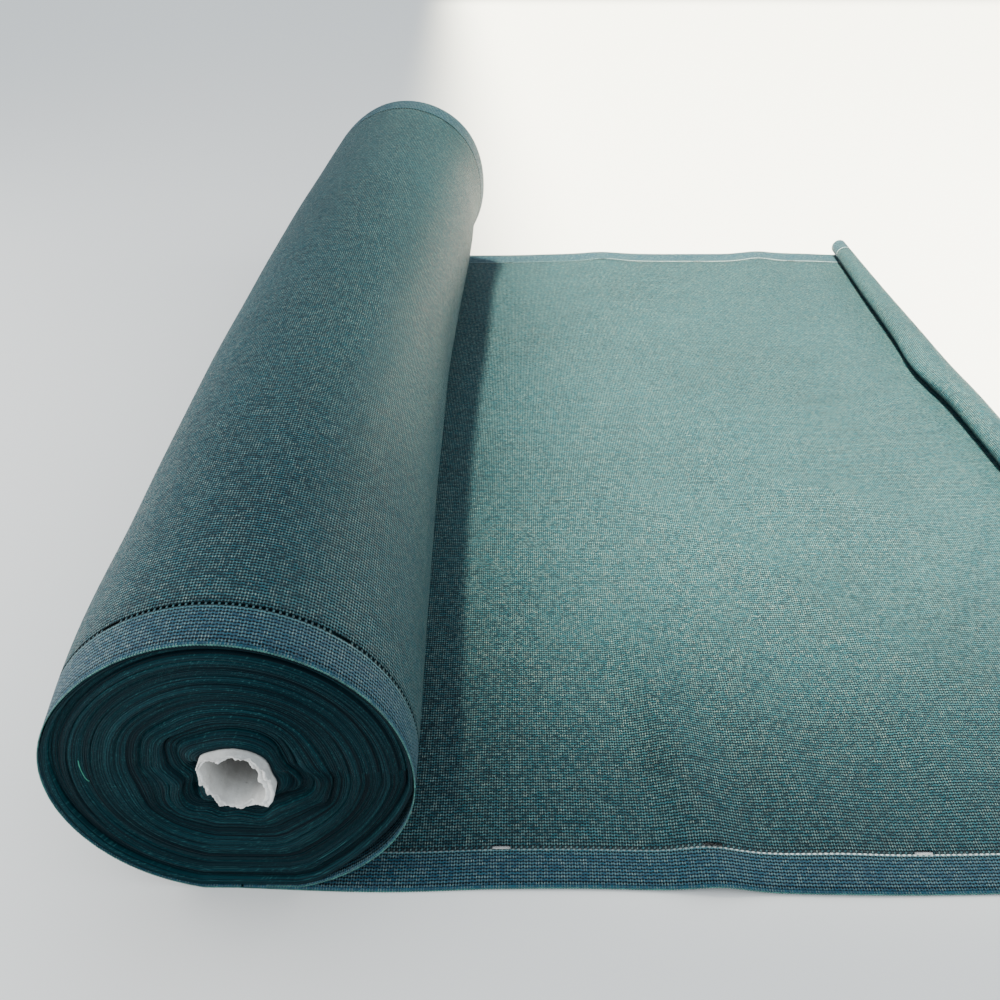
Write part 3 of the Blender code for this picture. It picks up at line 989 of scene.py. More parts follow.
    def build(self) -> bpy.types.Object:
        """Builds one half of the wound turns as a closed body."""
        side = self.end.value
        flip = self.end is End.FAR
        relief, relief_places = self.relief()
        degrees = 360.0 * np.arange(self.columns + 1) / self.columns
        y = side * np.linspace(CLOTH.half_width, 0.0004, self.skin_rows)
        skin = self.rim_points(y, degrees)
        skin[0, :, 1] = relief[-1, :, 1]
        skin_places = np.stack(np.broadcast_arrays(np.radians(degrees)[None, :] * 0.19, y[:, None]), axis=-1)
        bore_x, bore_z = self.core.points(degrees, self.bore_clearance)
        bore_y = np.array([relief[0, 0, 1], y[-1]])
        bore = np.stack([np.broadcast_to(v, (2, len(degrees))) for v in (bore_x, bore_y[:, None], bore_z)], -1)
        bore_places = np.zeros((2, len(degrees), 2))
        cap = np.stack([bore[1], skin[-1]])
        draft = MeshDraft()
        draft.grid(relief, relief_places, flip=not flip)
        draft.grid(skin, skin_places, flip=not flip)
        draft.grid(bore, bore_places, flip=flip)
        draft.grid(cap, bore_places, flip=flip)
        name = "near_turns" if self.end is End.NEAR else "far_turns"
        return draft.piece(name)


@dataclass
class PaperCore:
    """The crushed paper tube: a torn rim, pressed flat above and doubled at its right."""

    form: CoreForm
    columns: int = 300
    top_sink: float = 0.0015
    top_press: float = 0.0012
    doubled: float = 0.0078
    crease_depth: float = 0.0040
    end_reach: float = 0.05

    def torn(self, degrees: np.ndarray, ply: int, end: End) -> np.ndarray:
        """Gives how far a ply's torn edge stands proud of the roll's end.

        Args:
            degrees: Angles round the core.
            ply: 0 for the outer ply and 1 for the inner one.
            end: Which of the roll's ends.

        Returns:
            The edge's distance past the cloth's edge.
        """
        share = degrees / 360.0
        start = 1.9 * ply + 0.8 * end.value
        coarse = wavering(share, ((0.0009, 7.0, start), (0.0007, 13.0, 2.1 * start), (0.0006, 23.0, start)))
        fine = wavering(share, ((0.00035, 41.0, 0.3), (0.00030, 67.0, start), (0.00025, 96.0, 1.0)))
        sunk = self.top_sink * np.exp(-(angle_between(degrees, 95.0) / 62.0) ** 2)
        corner = 0.0022 * np.exp(-(angle_between(degrees, 150.0) / 9.0) ** 2)
        return self.form.rim(degrees, end) - 0.0010 - 0.0008 * ply - sunk + corner + coarse + fine

    def thickness(self, degrees: np.ndarray) -> np.ndarray:
        """Gives the wall's thickness at the rim, more where the paper lies double."""
        return self.form.wall + self.doubled * np.exp(-(angle_between(degrees, -2.0) / 40.0) ** 2)

    def crumple(self, degrees: np.ndarray, along: float, height: float) -> np.ndarray:
        """Gives the paper's small dents at a distance along the tube.

        Args:
            degrees: Angles round the core.
            along: How far from the rim.
            height: How high the dents are.

        Returns:
            The dents.
        """
        share = degrees / 360.0
        lumps = wavering(share, ((0.5, 9.0, 260 * along), (0.4, 17.0, 400 * along + 1), (0.3, 31.0, 900 * along)))
        creases = np.abs(np.sin(math.pi * (share * 13 + 30 * along))) ** 0.5 - 0.7
        return height * (lumps + 0.5 * creases)

    def profile(self, degrees: np.ndarray, end: End) -> list[tuple[np.ndarray, np.ndarray]]:
        """Gives the loops from deep outside the tube, over the torn rim, to deep inside it.

        Args:
            degrees: Angles round the core.
            end: Which of the roll's ends.

        Returns:
            Rows of how far outwards each loop lies and its place along the roll.
        """
        side = end.value
        outer_rim = self.torn(degrees, 0, end)
        inner_rim = self.torn(degrees, 1, end)
        wall = self.thickness(degrees)
        pressed = self.top_press * np.exp(-(angle_between(degrees, 85.0) / 45.0) ** 2)
        rows = []
        for step in (0.40, 0.18, 0.09, 0.045, 0.022, 0.012, 0.007, 0.0035, 0.0015, 0.0004):
            near = math.exp(-step / self.end_reach)
            out = -pressed * near + self.crumple(degrees, step, 0.0005 * near) - 0.0004
            rows.append((out, outer_rim - step))
        seam = self.crease_depth * (0.6 + 0.4 * np.sin(3 * np.radians(degrees) + 0.5))
        lip = self.crumple(degrees, 0.0, 0.0004)
        rim = (
            (0.06, 0.0), (0.16, 0.0004), (0.27, 0.0003), (0.36, -0.0003), (0.43, -0.45), (0.47, -1.0),
            (0.52, -0.55), (0.60, 0.0002), (0.72, 0.0005), (0.84, 0.0003), (0.93, -0.0002),
        )
        for share, rise in rim:
            edge = outer_rim if share < 0.47 else inner_rim
            lift = seam * rise if rise < -0.1 else rise + 0.5 * self.crumple(degrees, 0.02 * share, 0.0007)
            rows.append((-pressed - share * wall + 0.5 * lip, edge + lift))
        for step in (0.0006, 0.0018, 0.004, 0.008, 0.015, 0.028, 0.055, 0.11, 0.22, 0.40):
            near = math.exp(-step / self.end_reach)
            out = -pressed * near - self.form.wall - (wall - self.form.wall) * math.exp(-step / 0.02)
            rows.append((out + self.crumple(degrees, 0.5 + step, 0.0004), inner_rim - step))
        return [(out, side * (CLOTH.half_width + along)) for out, along in rows]

    def build(self) -> bpy.types.Object:
        """Builds the tube, a loop round its wall for each column."""
        degrees = 360.0 * np.arange(self.columns + 1) / self.columns
        near = self.profile(degrees, End.NEAR)
        far = self.profile(degrees, End.FAR)
        rows = []
        for outwards, y in near + far[::-1] + near[:1]:
            x, z = self.form.points(degrees, outwards)
            rows.append(np.stack([x, y + 0.0 * x, z], axis=-1))
        points = np.stack(rows)
        points[:, -1] = points[:, 0]
        lengths = np.arange(len(rows)) * 0.004
        places = np.stack(np.broadcast_arrays(np.radians(degrees)[None, :] * 0.037, lengths[:, None]), axis=-1)
        draft = MeshDraft()
        draft.grid(points, places)
        return draft.piece("paper_tube")


class NodeDesk:
    """Adds nodes to one tree and joins them."""

    def __init__(self, tree: bpy.types.NodeTree) -> None:
        """Keeps the tree."""
        self.tree = tree

    def add(self, kind: str, **settings: object) -> bpy.types.Node:
        """Adds a node and sets its properties.

        Args:
            kind: The node's type.
            **settings: Its properties by name.

        Returns:
            The node.
        """
        node = self.tree.nodes.new(kind)
        for name, value in settings.items():
            setattr(node, name, value)
        return node

    def join(self, source: bpy.types.NodeSocket, target: bpy.types.NodeSocket) -> None:
        """Links an output to an input."""
        self.tree.links.new(source, target)

    def feed(self, target: bpy.types.NodeSocket, value: object) -> None:
        """Links a socket to an input, or sets the input's own value."""
        if isinstance(value, bpy.types.NodeSocket):
            self.join(value, target)
        else:
            target.default_value = value

    def math(self, operation: str, *values: object, clamp: bool = False) -> bpy.types.NodeSocket:
        """Adds a Math node.

        Args:
            operation: What it works out.
            *values: Its inputs, sockets or numbers.
            clamp: Whether the result stays between 0 and 1.

        Returns:
            Its output.
        """
        node = self.add("ShaderNodeMath", operation=operation, use_clamp=clamp)
        for socket, value in zip(node.inputs, values):
            self.feed(socket, value)
        return node.outputs[0]

    def fade(self, value: object, low: float, high: float, out_low: float = 0.0, out_high: float = 1.0) -> bpy.types.NodeSocket:
        """Maps a value smoothly from one range to another.

        Args:
            value: The socket to read.
            low: The value that gives out_low.
            high: The value that gives out_high.
            out_low: The result at low.
            out_high: The result at high.

        Returns:
            The mapped value.
        """
        node = self.add("ShaderNodeMapRange", interpolation_type="SMOOTHSTEP")
        for socket, given in zip(node.inputs[:5], (value, low, high, out_low, out_high)):
            self.feed(socket, given)
        return node.outputs[0]

    def mix(self, share: object, first: object, second: object, blend: str = "MIX") -> bpy.types.NodeSocket:
        """Mixes two colours.

        Args:
            share: How much of the second.
            first: The first colour.
            second: The second colour.
            blend: How they mix.

        Returns:
            The mixed colour.
        """
        node = self.add("ShaderNodeMix", data_type="RGBA", blend_type=blend)
        self.feed(node.inputs[0], share)
        self.feed(node.inputs[6], first)
        self.feed(node.inputs[7], second)
        return node.outputs[2]

    def noise(self, place: object, scale: float, detail: float = 2.0, roughness: float = 0.5) -> bpy.types.NodeSocket:
        """Adds a Noise Texture and gives its grey value."""
        node = self.add("ShaderNodeTexNoise")
        self.feed(node.inputs["Vector"], place)
        node.inputs["Scale"].default_value = scale
        node.inputs["Detail"].default_value = detail
        node.inputs["Roughness"].default_value = roughness
        return node.outputs[0]

    def vector(self, x: object, y: object, z: object = 0.0) -> bpy.types.NodeSocket:
        """Joins three values into a vector."""
        node = self.add("ShaderNodeCombineXYZ")
        for socket, value in zip(node.inputs, (x, y, z)):
            self.feed(socket, value)
        return node.outputs[0]

    def split(self, vector: bpy.types.NodeSocket) -> list[bpy.types.NodeSocket]:
        """Splits a vector into its three values."""
        node = self.add("ShaderNodeSeparateXYZ")
        self.join(vector, node.inputs[0])
        return list(node.outputs)


def open_group(name: str, inputs: dict, outputs: dict) -> tuple[NodeDesk, dict, bpy.types.Node]:
    """Starts a shader node group with named inputs and outputs.

    Args:
        name: The group's name.
        inputs: Each input's name, with its socket type and its value.
        outputs: Each output's name, with its socket type.

    Returns:
        A desk for its tree, its inputs by name, and its output node.
    """
    tree = bpy.data.node_groups.new(name, "ShaderNodeTree")
    for label, (kind, value) in inputs.items():
        socket = tree.interface.new_socket(name=label, in_out="INPUT", socket_type=kind)
        if value is not None:
            socket.default_value = value
    for label, kind in outputs.items():
        tree.interface.new_socket(name=label, in_out="OUTPUT", socket_type=kind)
    desk = NodeDesk(tree)
    entry = desk.add("NodeGroupInput")
    exit_node = desk.add("NodeGroupOutput")
    return desk, {socket.name: socket for socket in entry.outputs if socket.name}, exit_node


def knit_group() -> bpy.types.NodeTree:
    """Builds the raschel knit: rows of stitches along the cloth with an eye between each pair, which the materials
    paint dark as shade.

    Returns:
        A group that puts out the eyes, the threads' height, a value for each stitch, streaks, and the masks of painted
        highlights on the stitch bars.
    """
    desk, given, leave = open_group(
        "knit",
        {
            "Place": ("NodeSocketVector", None),
            "Wale": ("NodeSocketFloat", CLOTH.wale),
            "Course": ("NodeSocketFloat", CLOTH.course),
            "Eye Across": ("NodeSocketFloat", 0.26),
            "Eye Along": ("NodeSocketFloat", 0.36),
            "Wander": ("NodeSocketFloat", 0.0016),
            "Zigzag": ("NodeSocketFloat", 0.09),
            "Gap Depth": ("NodeSocketFloat", 0.72),
            "Tilt": ("NodeSocketFloat", 1.1),
        },
        {
            "Eye": "NodeSocketFloat",
            "Height": "NodeSocketFloat",
            "Stitch": "NodeSocketFloat",
            "Streak": "NodeSocketFloat",
            "Tick": "NodeSocketFloat",
            "Spark": "NodeSocketFloat",
        },
    )
    u, v, _ = desk.split(given["Place"])
    drift = desk.math("SUBTRACT", desk.noise(given["Place"], 9.0, 3.0, 0.6), 0.5)
    v = desk.math("ADD", v, desk.math("MULTIPLY", drift, given["Wander"]))
    slide = desk.math("SUBTRACT", desk.noise(given["Place"], 14.0, 2.0), 0.5)
    u = desk.math("ADD", u, desk.math("MULTIPLY", slide, given["Wander"]))
    course = desk.math("DIVIDE", u, given["Course"])
    sway = desk.math("MULTIPLY", desk.math("SINE", desk.math("MULTIPLY", course, math.pi)), given["Zigzag"])
    wale = desk.math("ADD", desk.math("DIVIDE", v, given["Wale"]), sway)
    row = desk.math("FLOOR", wale)
    off_middle = desk.math("ABSOLUTE", desk.math("SUBTRACT", desk.math("FRACT", wale), 0.5))
    to_gap = desk.math("SUBTRACT", 0.5, off_middle)
    column = desk.math("FLOOR", course)
    off_eye = desk.math("ABSOLUTE", desk.math("SUBTRACT", desk.math("FRACT", course), 0.5))
    stitch = desk.add("ShaderNodeTexWhiteNoise", noise_dimensions="2D")
    desk.join(desk.vector(row, column), stitch.inputs["Vector"])
    first, second, third = desk.split(stitch.outputs["Color"])
    spread = desk.math("ADD", 0.75, desk.math("MULTIPLY", first, 0.5))
    across = desk.math("DIVIDE", to_gap, desk.math("MULTIPLY", given["Eye Across"], spread))
    along = desk.math("DIVIDE", off_eye, given["Eye Along"])
    radius = desk.math("ADD", desk.math("POWER", across, 2.0), desk.math("POWER", along, 4.0))
    eye = desk.fade(radius, 0.55, 1.15, 1.0, 0.0)
    gap = desk.math("MULTIPLY", desk.fade(to_gap, 0.02, 0.26, 1.0, 0.0), given["Gap Depth"])
    eye = desk.math("MAXIMUM", eye, gap)
    ridge = desk.math("SUBTRACT", 1.0, desk.math("POWER", desk.math("MULTIPLY", off_middle, 2.0), 2.0))
    tape = desk.math("MULTIPLY", off_eye, 2.0)
    height = desk.math("ADD", desk.math("MULTIPLY", ridge, 0.55), desk.math("MULTIPLY", tape, 0.35))
    lean = desk.math("MULTIPLY", desk.math("SUBTRACT", desk.math("FRACT", course), 0.5), desk.math("SUBTRACT", second, 0.5))
    roll_over = desk.math("MULTIPLY", desk.math("SUBTRACT", desk.math("FRACT", wale), 0.5), desk.math("SUBTRACT", third, 0.5))
    height = desk.math("ADD", height, desk.math("MULTIPLY", desk.math("ADD", lean, roll_over), given["Tilt"]))
    height = desk.math("MULTIPLY", height, desk.math("SUBTRACT", 1.0, desk.math("MULTIPLY", eye, 0.9)))
    streak = desk.noise(desk.vector(desk.math("MULTIPLY", u, 5.0), desk.math("MULTIPLY", row, 0.9)), 1.0, 3.0, 0.7)
    # Masks for painted highlights: ticks on the stitch bars, and rare brighter sparks among them.
    tick = desk.math("MULTIPLY", desk.fade(off_eye, 0.20, 0.46), desk.fade(to_gap, 0.05, 0.20))
    painted_spark = desk.math("MULTIPLY", tick, desk.fade(third, 0.86, 0.96))
    tick = desk.math("MULTIPLY", tick, desk.fade(second, 0.15, 1.0))
    puts = {"Eye": eye, "Height": height, "Stitch": first, "Streak": streak, "Tick": tick, "Spark": painted_spark}
    for label, value in puts.items():
        desk.join(value, leave.inputs[label])
    return desk.tree


def tape_group() -> bpy.types.NodeTree:
    """Builds the edges of wound cloth: thin plies side by side, with painted glint specks on the yarn.

    Returns:
        A group that puts out the gaps between plies for painted shade, their height, and the specks of painted glints.
    """
    desk, given, leave = open_group(
        "wound edges",
        {
            "Place": ("NodeSocketVector", None),
            "Plies": ("NodeSocketFloat", 2.3),
            "Stitch Length": ("NodeSocketFloat", 0.0015),
        },
        {"Gap": "NodeSocketFloat", "Height": "NodeSocketFloat", "Speck": "NodeSocketFloat"},
    )
    u, v, _ = desk.split(given["Place"])
    waver = desk.math("SUBTRACT", desk.noise(desk.vector(desk.math("MULTIPLY", u, 22.0), v), 1.0, 2.0), 0.5)
    ply = desk.math("ADD", desk.math("MULTIPLY", v, given["Plies"]), desk.math("MULTIPLY", waver, 0.7))
    off_middle = desk.math("ABSOLUTE", desk.math("SUBTRACT", desk.math("FRACT", ply), 0.5))
    # The gaps between plies, which the material paints dark as shade.
    gap = desk.fade(off_middle, 0.26, 0.5)
    stitch = desk.math("DIVIDE", u, given["Stitch Length"])
    # Painted glint specks, one chance for each stitch, kept out of the gaps.
    painted_glint_speck = desk.add("ShaderNodeTexWhiteNoise", noise_dimensions="2D")
    desk.join(desk.vector(desk.math("FLOOR", ply), desk.math("FLOOR", stitch)), painted_glint_speck.inputs["Vector"])
    bead = desk.math("ABSOLUTE", desk.math("SUBTRACT", desk.math("FRACT", stitch), 0.5))
    height = desk.math("SUBTRACT", desk.math("SUBTRACT", 1.0, gap), desk.math("MULTIPLY", bead, 0.7))
    lit = desk.math("MULTIPLY", desk.fade(painted_glint_speck.outputs[0], 0.78, 1.0), desk.math("SUBTRACT", 1.0, gap))
    for label, value in (("Gap", gap), ("Height", height), ("Speck", lit)):
        desk.join(value, leave.inputs[label])
    return desk.tree


Colour = tuple[float, float, float, float]


def begin_material(name: str) -> tuple[bpy.types.Material, NodeDesk, bpy.types.Node]:
    """Starts a Principled material.

    Args:
        name: The material's name.

    Returns:
        The material, a desk for its tree, and its Principled node.
    """
    material = bpy.data.materials.new(name)
    material.use_nodes = True
    desk = NodeDesk(material.node_tree)
    return material, desk, material.node_tree.nodes["Principled BSDF"]


def place_group(desk: NodeDesk, group: bpy.types.NodeTree, place: bpy.types.NodeSocket, **values: float) -> bpy.types.Node:
    """Places a node group in a material.

    Args:
        desk: The material's desk.
        group: The group.
        place: What its Place input reads.
        **values: Its other inputs, with an underscore for each space.

    Returns:
        The group's node.
    """
    node = desk.add("ShaderNodeGroup", node_tree=group)
    desk.join(place, node.inputs["Place"])
    for label, value in values.items():
        node.inputs[label.replace("_", " ")].default_value = value
    return node


@dataclass(frozen=True)
class KnitFinish:
    """Glossy green plastic knit, seen on its face, with painted shade in its holes and painted highlights on its
    stitches.
    """

    name: str
    deep: Colour = (0.0030, 0.024, 0.034, 1.0)
    green: Colour = (0.016, 0.098, 0.125, 1.0)
    # Painted highlight colours: glints on the stitch bars and rare sparks.
    painted_bar_glint: Colour = (0.20, 0.32, 0.29, 1.0)
    painted_spark: Colour = (0.50, 0.62, 0.54, 1.0)
    selvage: Colour = (0.024, 0.085, 0.150, 1.0)
    # Painted shade colour of the knit's holes and the gaps between its wales.
    painted_hole_shade: Colour = (0.0008, 0.004, 0.007, 1.0)
    line: Colour = (0.07, 0.20, 0.24, 1.0)
    # Painted light colour: pale dots of lit floor seen through a ladder row.
    painted_floor_light: Colour = (0.70, 0.78, 0.78, 1.0)
    eye_across: float = 0.27
    eye_along: float = 0.37
    roughness: float = 0.40
    specular: float = 0.45
    sheen: float = 0.02
    bump: float = 0.0011
    tick_strength: float = 0.55
    painted_floor_light_strength: float = 0.0

    def row(self, desk: NodeDesk, from_middle: object, place: float, core: float, edge: float) -> bpy.types.NodeSocket:
        """Masks a line along the cloth.

        Args:
            desk: The material's desk.
            from_middle: How far a point lies from the cloth's middle.
            place: How far the line lies from it.
            core: Half the line's width.
            edge: Where the line has faded out.

        Returns:
            The mask.
        """
        beside = desk.math("ABSOLUTE", desk.math("SUBTRACT", from_middle, place))
        return desk.fade(beside, core, edge, 1.0, 0.0)

    def material(self, knit: bpy.types.NodeTree) -> bpy.types.Material:
        """Makes the material.

        Args:
            knit: The knit's node group.

        Returns:
            The material.
        """
        material, desk, shader = begin_material(self.name)
        coordinates = desk.add("ShaderNodeUVMap", uv_map="cloth").outputs[0]
        u, v, _ = desk.split(coordinates)
        from_middle = desk.math("ABSOLUTE", v)
        node = place_group(
            desk, knit, coordinates, Wale=CLOTH.wale, Course=CLOTH.course, Eye_Along=self.eye_along,
        )
        inner_holes = self.row(desk, from_middle, CLOTH.ladder_y - 0.0063, 0.0030, 0.0050)
        rim_holes = self.row(desk, from_middle, CLOTH.half_width - 0.0070, 0.0012, 0.0024)
        wider = desk.math("MAXIMUM", desk.math("MULTIPLY", inner_holes, 0.07), desk.math("MULTIPLY", rim_holes, 0.12))
        desk.join(desk.math("ADD", self.eye_across, wider), node.inputs["Eye Across"])
        selvage = desk.fade(from_middle, CLOTH.ladder_y, CLOTH.ladder_y + 0.012)
        solid_edge = desk.fade(from_middle, CLOTH.half_width - 0.0045, CLOTH.half_width - 0.0030)
        large = desk.noise(coordinates, 3.2, 3.0, 0.55)
        shade = desk.math("POWER", node.outputs["Stitch"], 1.5)
        shade = desk.math("ADD", desk.math("MULTIPLY", shade, 0.85), desk.math("MULTIPLY", node.outputs["Streak"], 0.70))
        shade = desk.math("SUBTRACT", desk.math("ADD", shade, desk.math("MULTIPLY", large, 0.5)), 0.48, clamp=True)
        yarn = desk.mix(shade, self.deep, self.green)
        yarn = desk.mix(desk.math("MULTIPLY", selvage, 0.45), yarn, self.selvage)
        # Painted highlights: the stitch bars' ticks take the glint colour, and a few take the brighter spark colour.
        yarn = desk.mix(desk.math("MULTIPLY", node.outputs["Tick"], self.tick_strength), yarn, self.painted_bar_glint)
        yarn = desk.mix(desk.math("MULTIPLY", node.outputs["Spark"], 0.30), yarn, self.painted_spark)
        lines = desk.math(
            "MAXIMUM", self.row(desk, from_middle, CLOTH.ladder_y + 0.0037, 0.0004, 0.0012),
            self.row(desk, from_middle, CLOTH.ladder_y + 0.0068, 0.0003, 0.0010),
        )
        yarn = desk.mix(desk.math("MULTIPLY", lines, 0.6), yarn, self.line)
        # Painted shade: the knit's eyes and the gaps between wales turn near-black, except at the solid edge.
        holes = desk.math("MULTIPLY", node.outputs["Eye"], desk.math("SUBTRACT", 1.0, solid_edge))
        colour = desk.mix(holes, yarn, self.painted_hole_shade)
        # Painted light along the ladder row: pale dots stand for the lit floor seen through its holes and fade towards
        # the roll as painted shadow; between them the holes get painted shade.
        if self.painted_floor_light_strength:
            dots = desk.math("FRACT", desk.math("DIVIDE", u, CLOTH.rung_pitch))
            dots = desk.fade(desk.math("ABSOLUTE", desk.math("SUBTRACT", dots, 0.5)), 0.16, 0.34, 1.0, 0.0)
            near = desk.fade(desk.math("MULTIPLY", u, -1.0), 0.46, 0.66, 0.15, 1.0)
            painted_floor_light = desk.math("MULTIPLY", self.row(desk, from_middle, CLOTH.ladder_y + 0.0031, 0.0006, 0.0013), near)
            painted_floor_light = desk.math("MULTIPLY", painted_floor_light, desk.math("MULTIPLY", desk.math("ADD", 0.2, dots), self.painted_floor_light_strength))
            holes = desk.math("MULTIPLY", self.row(desk, from_middle, CLOTH.ladder_y, 0.0009, 0.0020), dots)
            colour = desk.mix(desk.math("MULTIPLY", holes, 0.85), colour, self.painted_hole_shade)
            colour = desk.mix(painted_floor_light, colour, self.painted_floor_light)
        desk.join(colour, shader.inputs["Base Color"])
        rough = desk.math("ADD", self.roughness, desk.math("MULTIPLY", node.outputs["Stitch"], 0.18))
        desk.join(desk.math("ADD", rough, desk.math("MULTIPLY", node.outputs["Eye"], 0.3)), shader.inputs["Roughness"])
        shader.inputs["Sheen Weight"].default_value = self.sheen
        shader.inputs["Sheen Roughness"].default_value = 0.45
        shader.inputs["Sheen Tint"].default_value = (0.72, 0.80, 0.72, 1.0)
        shader.inputs["Specular IOR Level"].default_value = self.specular
        shader.inputs["IOR"].default_value = 1.28
        bump = desk.add("ShaderNodeBump")
        bump.inputs["Strength"].default_value = 1.0
        bump.inputs["Distance"].default_value = self.bump
        desk.join(node.outputs["Height"], bump.inputs["Height"])
        desk.join(bump.outputs[0], shader.inputs["Normal"])
        return material


@dataclass(frozen=True)
class EdgeFinish:
    """The wound cloth seen on the edges of its turns, with painted shade in the gaps between its plies and darker
    bands across the turns.
    """

    name: str = "wound edges"
    deep: Colour = (0.0005, 0.0090, 0.0150, 1.0)
    green: Colour = (0.0030, 0.048, 0.062, 1.0)
    # Painted glint colour of the specks.
    painted_glint_speck: Colour = (0.022, 0.110, 0.120, 1.0)
    roughness: float = 0.55
    specular: float = 0.12

    def material(self, tape: bpy.types.NodeTree) -> bpy.types.Material:
        """Makes the material.

        Args:
            tape: The wound edges' node group.

        Returns:
            The material.
        """
        material, desk, shader = begin_material(self.name)
        coordinates = desk.add("ShaderNodeUVMap", uv_map="cloth").outputs[0]
        node = place_group(desk, tape, coordinates)
        u, v, _ = desk.split(coordinates)
        # Painted shade: darker bands across the turns stand for sunk groups of turns in shade, mixed with random tone.
        bands = desk.noise(desk.vector(desk.math("MULTIPLY", u, 1.2), desk.math("MULTIPLY", v, 0.42)), 1.0, 4.0, 0.65)
        yarn = desk.mix(desk.fade(bands, 0.34, 0.68), self.deep, self.green)
        # Painted glints: specks on the lighter bands only.
        yarn = desk.mix(desk.math("MULTIPLY", node.outputs["Speck"], desk.fade(bands, 0.40, 0.62)), yarn, self.painted_glint_speck)
        # Painted shade: the gaps between plies take the deep colour.
        colour = desk.mix(desk.math("MULTIPLY", node.outputs["Gap"], 0.8), yarn, self.deep)
        desk.join(colour, shader.inputs["Base Color"])
        shader.inputs["Roughness"].default_value = self.roughness
        shader.inputs["Specular IOR Level"].default_value = self.specular
        bump = desk.add("ShaderNodeBump")
        bump.inputs["Strength"].default_value = 0.9
        bump.inputs["Distance"].default_value = 0.0006
        desk.join(node.outputs["Height"], bump.inputs["Height"])
        desk.join(bump.outputs[0], shader.inputs["Normal"])
        return material


@dataclass(frozen=True)
class YarnFinish:
    """The thicker yarn of rungs, selvage stitches and pulled threads."""

    name: str
    colour: Colour
    pale: Colour
    roughness: float = 0.4

    def material(self) -> bpy.types.Material:
        """Makes the material."""
        material, desk, shader = begin_material(self.name)
        place = desk.add("ShaderNodeTexCoord").outputs["Object"]
        share = desk.fade(desk.noise(place, 160.0, 2.0), 0.35, 0.70)
        desk.join(desk.mix(share, self.colour, self.pale), shader.inputs["Base Color"])
        shader.inputs["Roughness"].default_value = self.roughness
        return material


@dataclass(frozen=True)
class PaperFinish:
    """Torn, slightly soiled matt paper, with painted shade deep inside the tube."""

    name: str = "core paper"
    clean: Colour = (0.86, 0.86, 0.84, 1.0)
    soiled: Colour = (0.62, 0.61, 0.59, 1.0)
    spot: Colour = (0.10, 0.10, 0.09, 1.0)
    # Painted shade colour of the paper deep inside the tube.
    inside: Colour = (0.26, 0.25, 0.24, 1.0)

    def material(self) -> bpy.types.Material:
        """Makes the material."""
        material, desk, shader = begin_material(self.name)
        place = desk.add("ShaderNodeTexCoord").outputs["Object"]
        cloud = desk.fade(desk.noise(place, 38.0, 5.0, 0.65), 0.38, 0.72)
        colour = desk.mix(cloud, self.clean, self.soiled)
        spots = desk.fade(desk.noise(place, 150.0, 2.0, 0.4), 0.72, 0.80)
        colour = desk.mix(desk.math("MULTIPLY", spots, 0.5), colour, self.spot)
        _, along, _ = desk.split(place)
        # Painted shade: the paper turns darker away from the rims, deep inside the tube.
        deep = desk.fade(desk.math("ABSOLUTE", along), 0.870, 0.922, 1.0, 0.0)
        colour = desk.mix(desk.math("MULTIPLY", deep, 0.85), colour, self.inside)
        desk.join(colour, shader.inputs["Base Color"])
        shader.inputs["Roughness"].default_value = 0.88
        fibres = desk.noise(place, 420.0, 6.0, 0.7)
        lumps = desk.noise(place, 90.0, 4.0, 0.6)
        height = desk.math("ADD", desk.math("MULTIPLY", fibres, 0.35), lumps)
        bump = desk.add("ShaderNodeBump")
        bump.inputs["Strength"].default_value = 0.8
        bump.inputs["Distance"].default_value = 0.0012
        desk.join(height, bump.inputs["Height"])
        desk.join(bump.outputs[0], shader.inputs["Normal"])
        return material


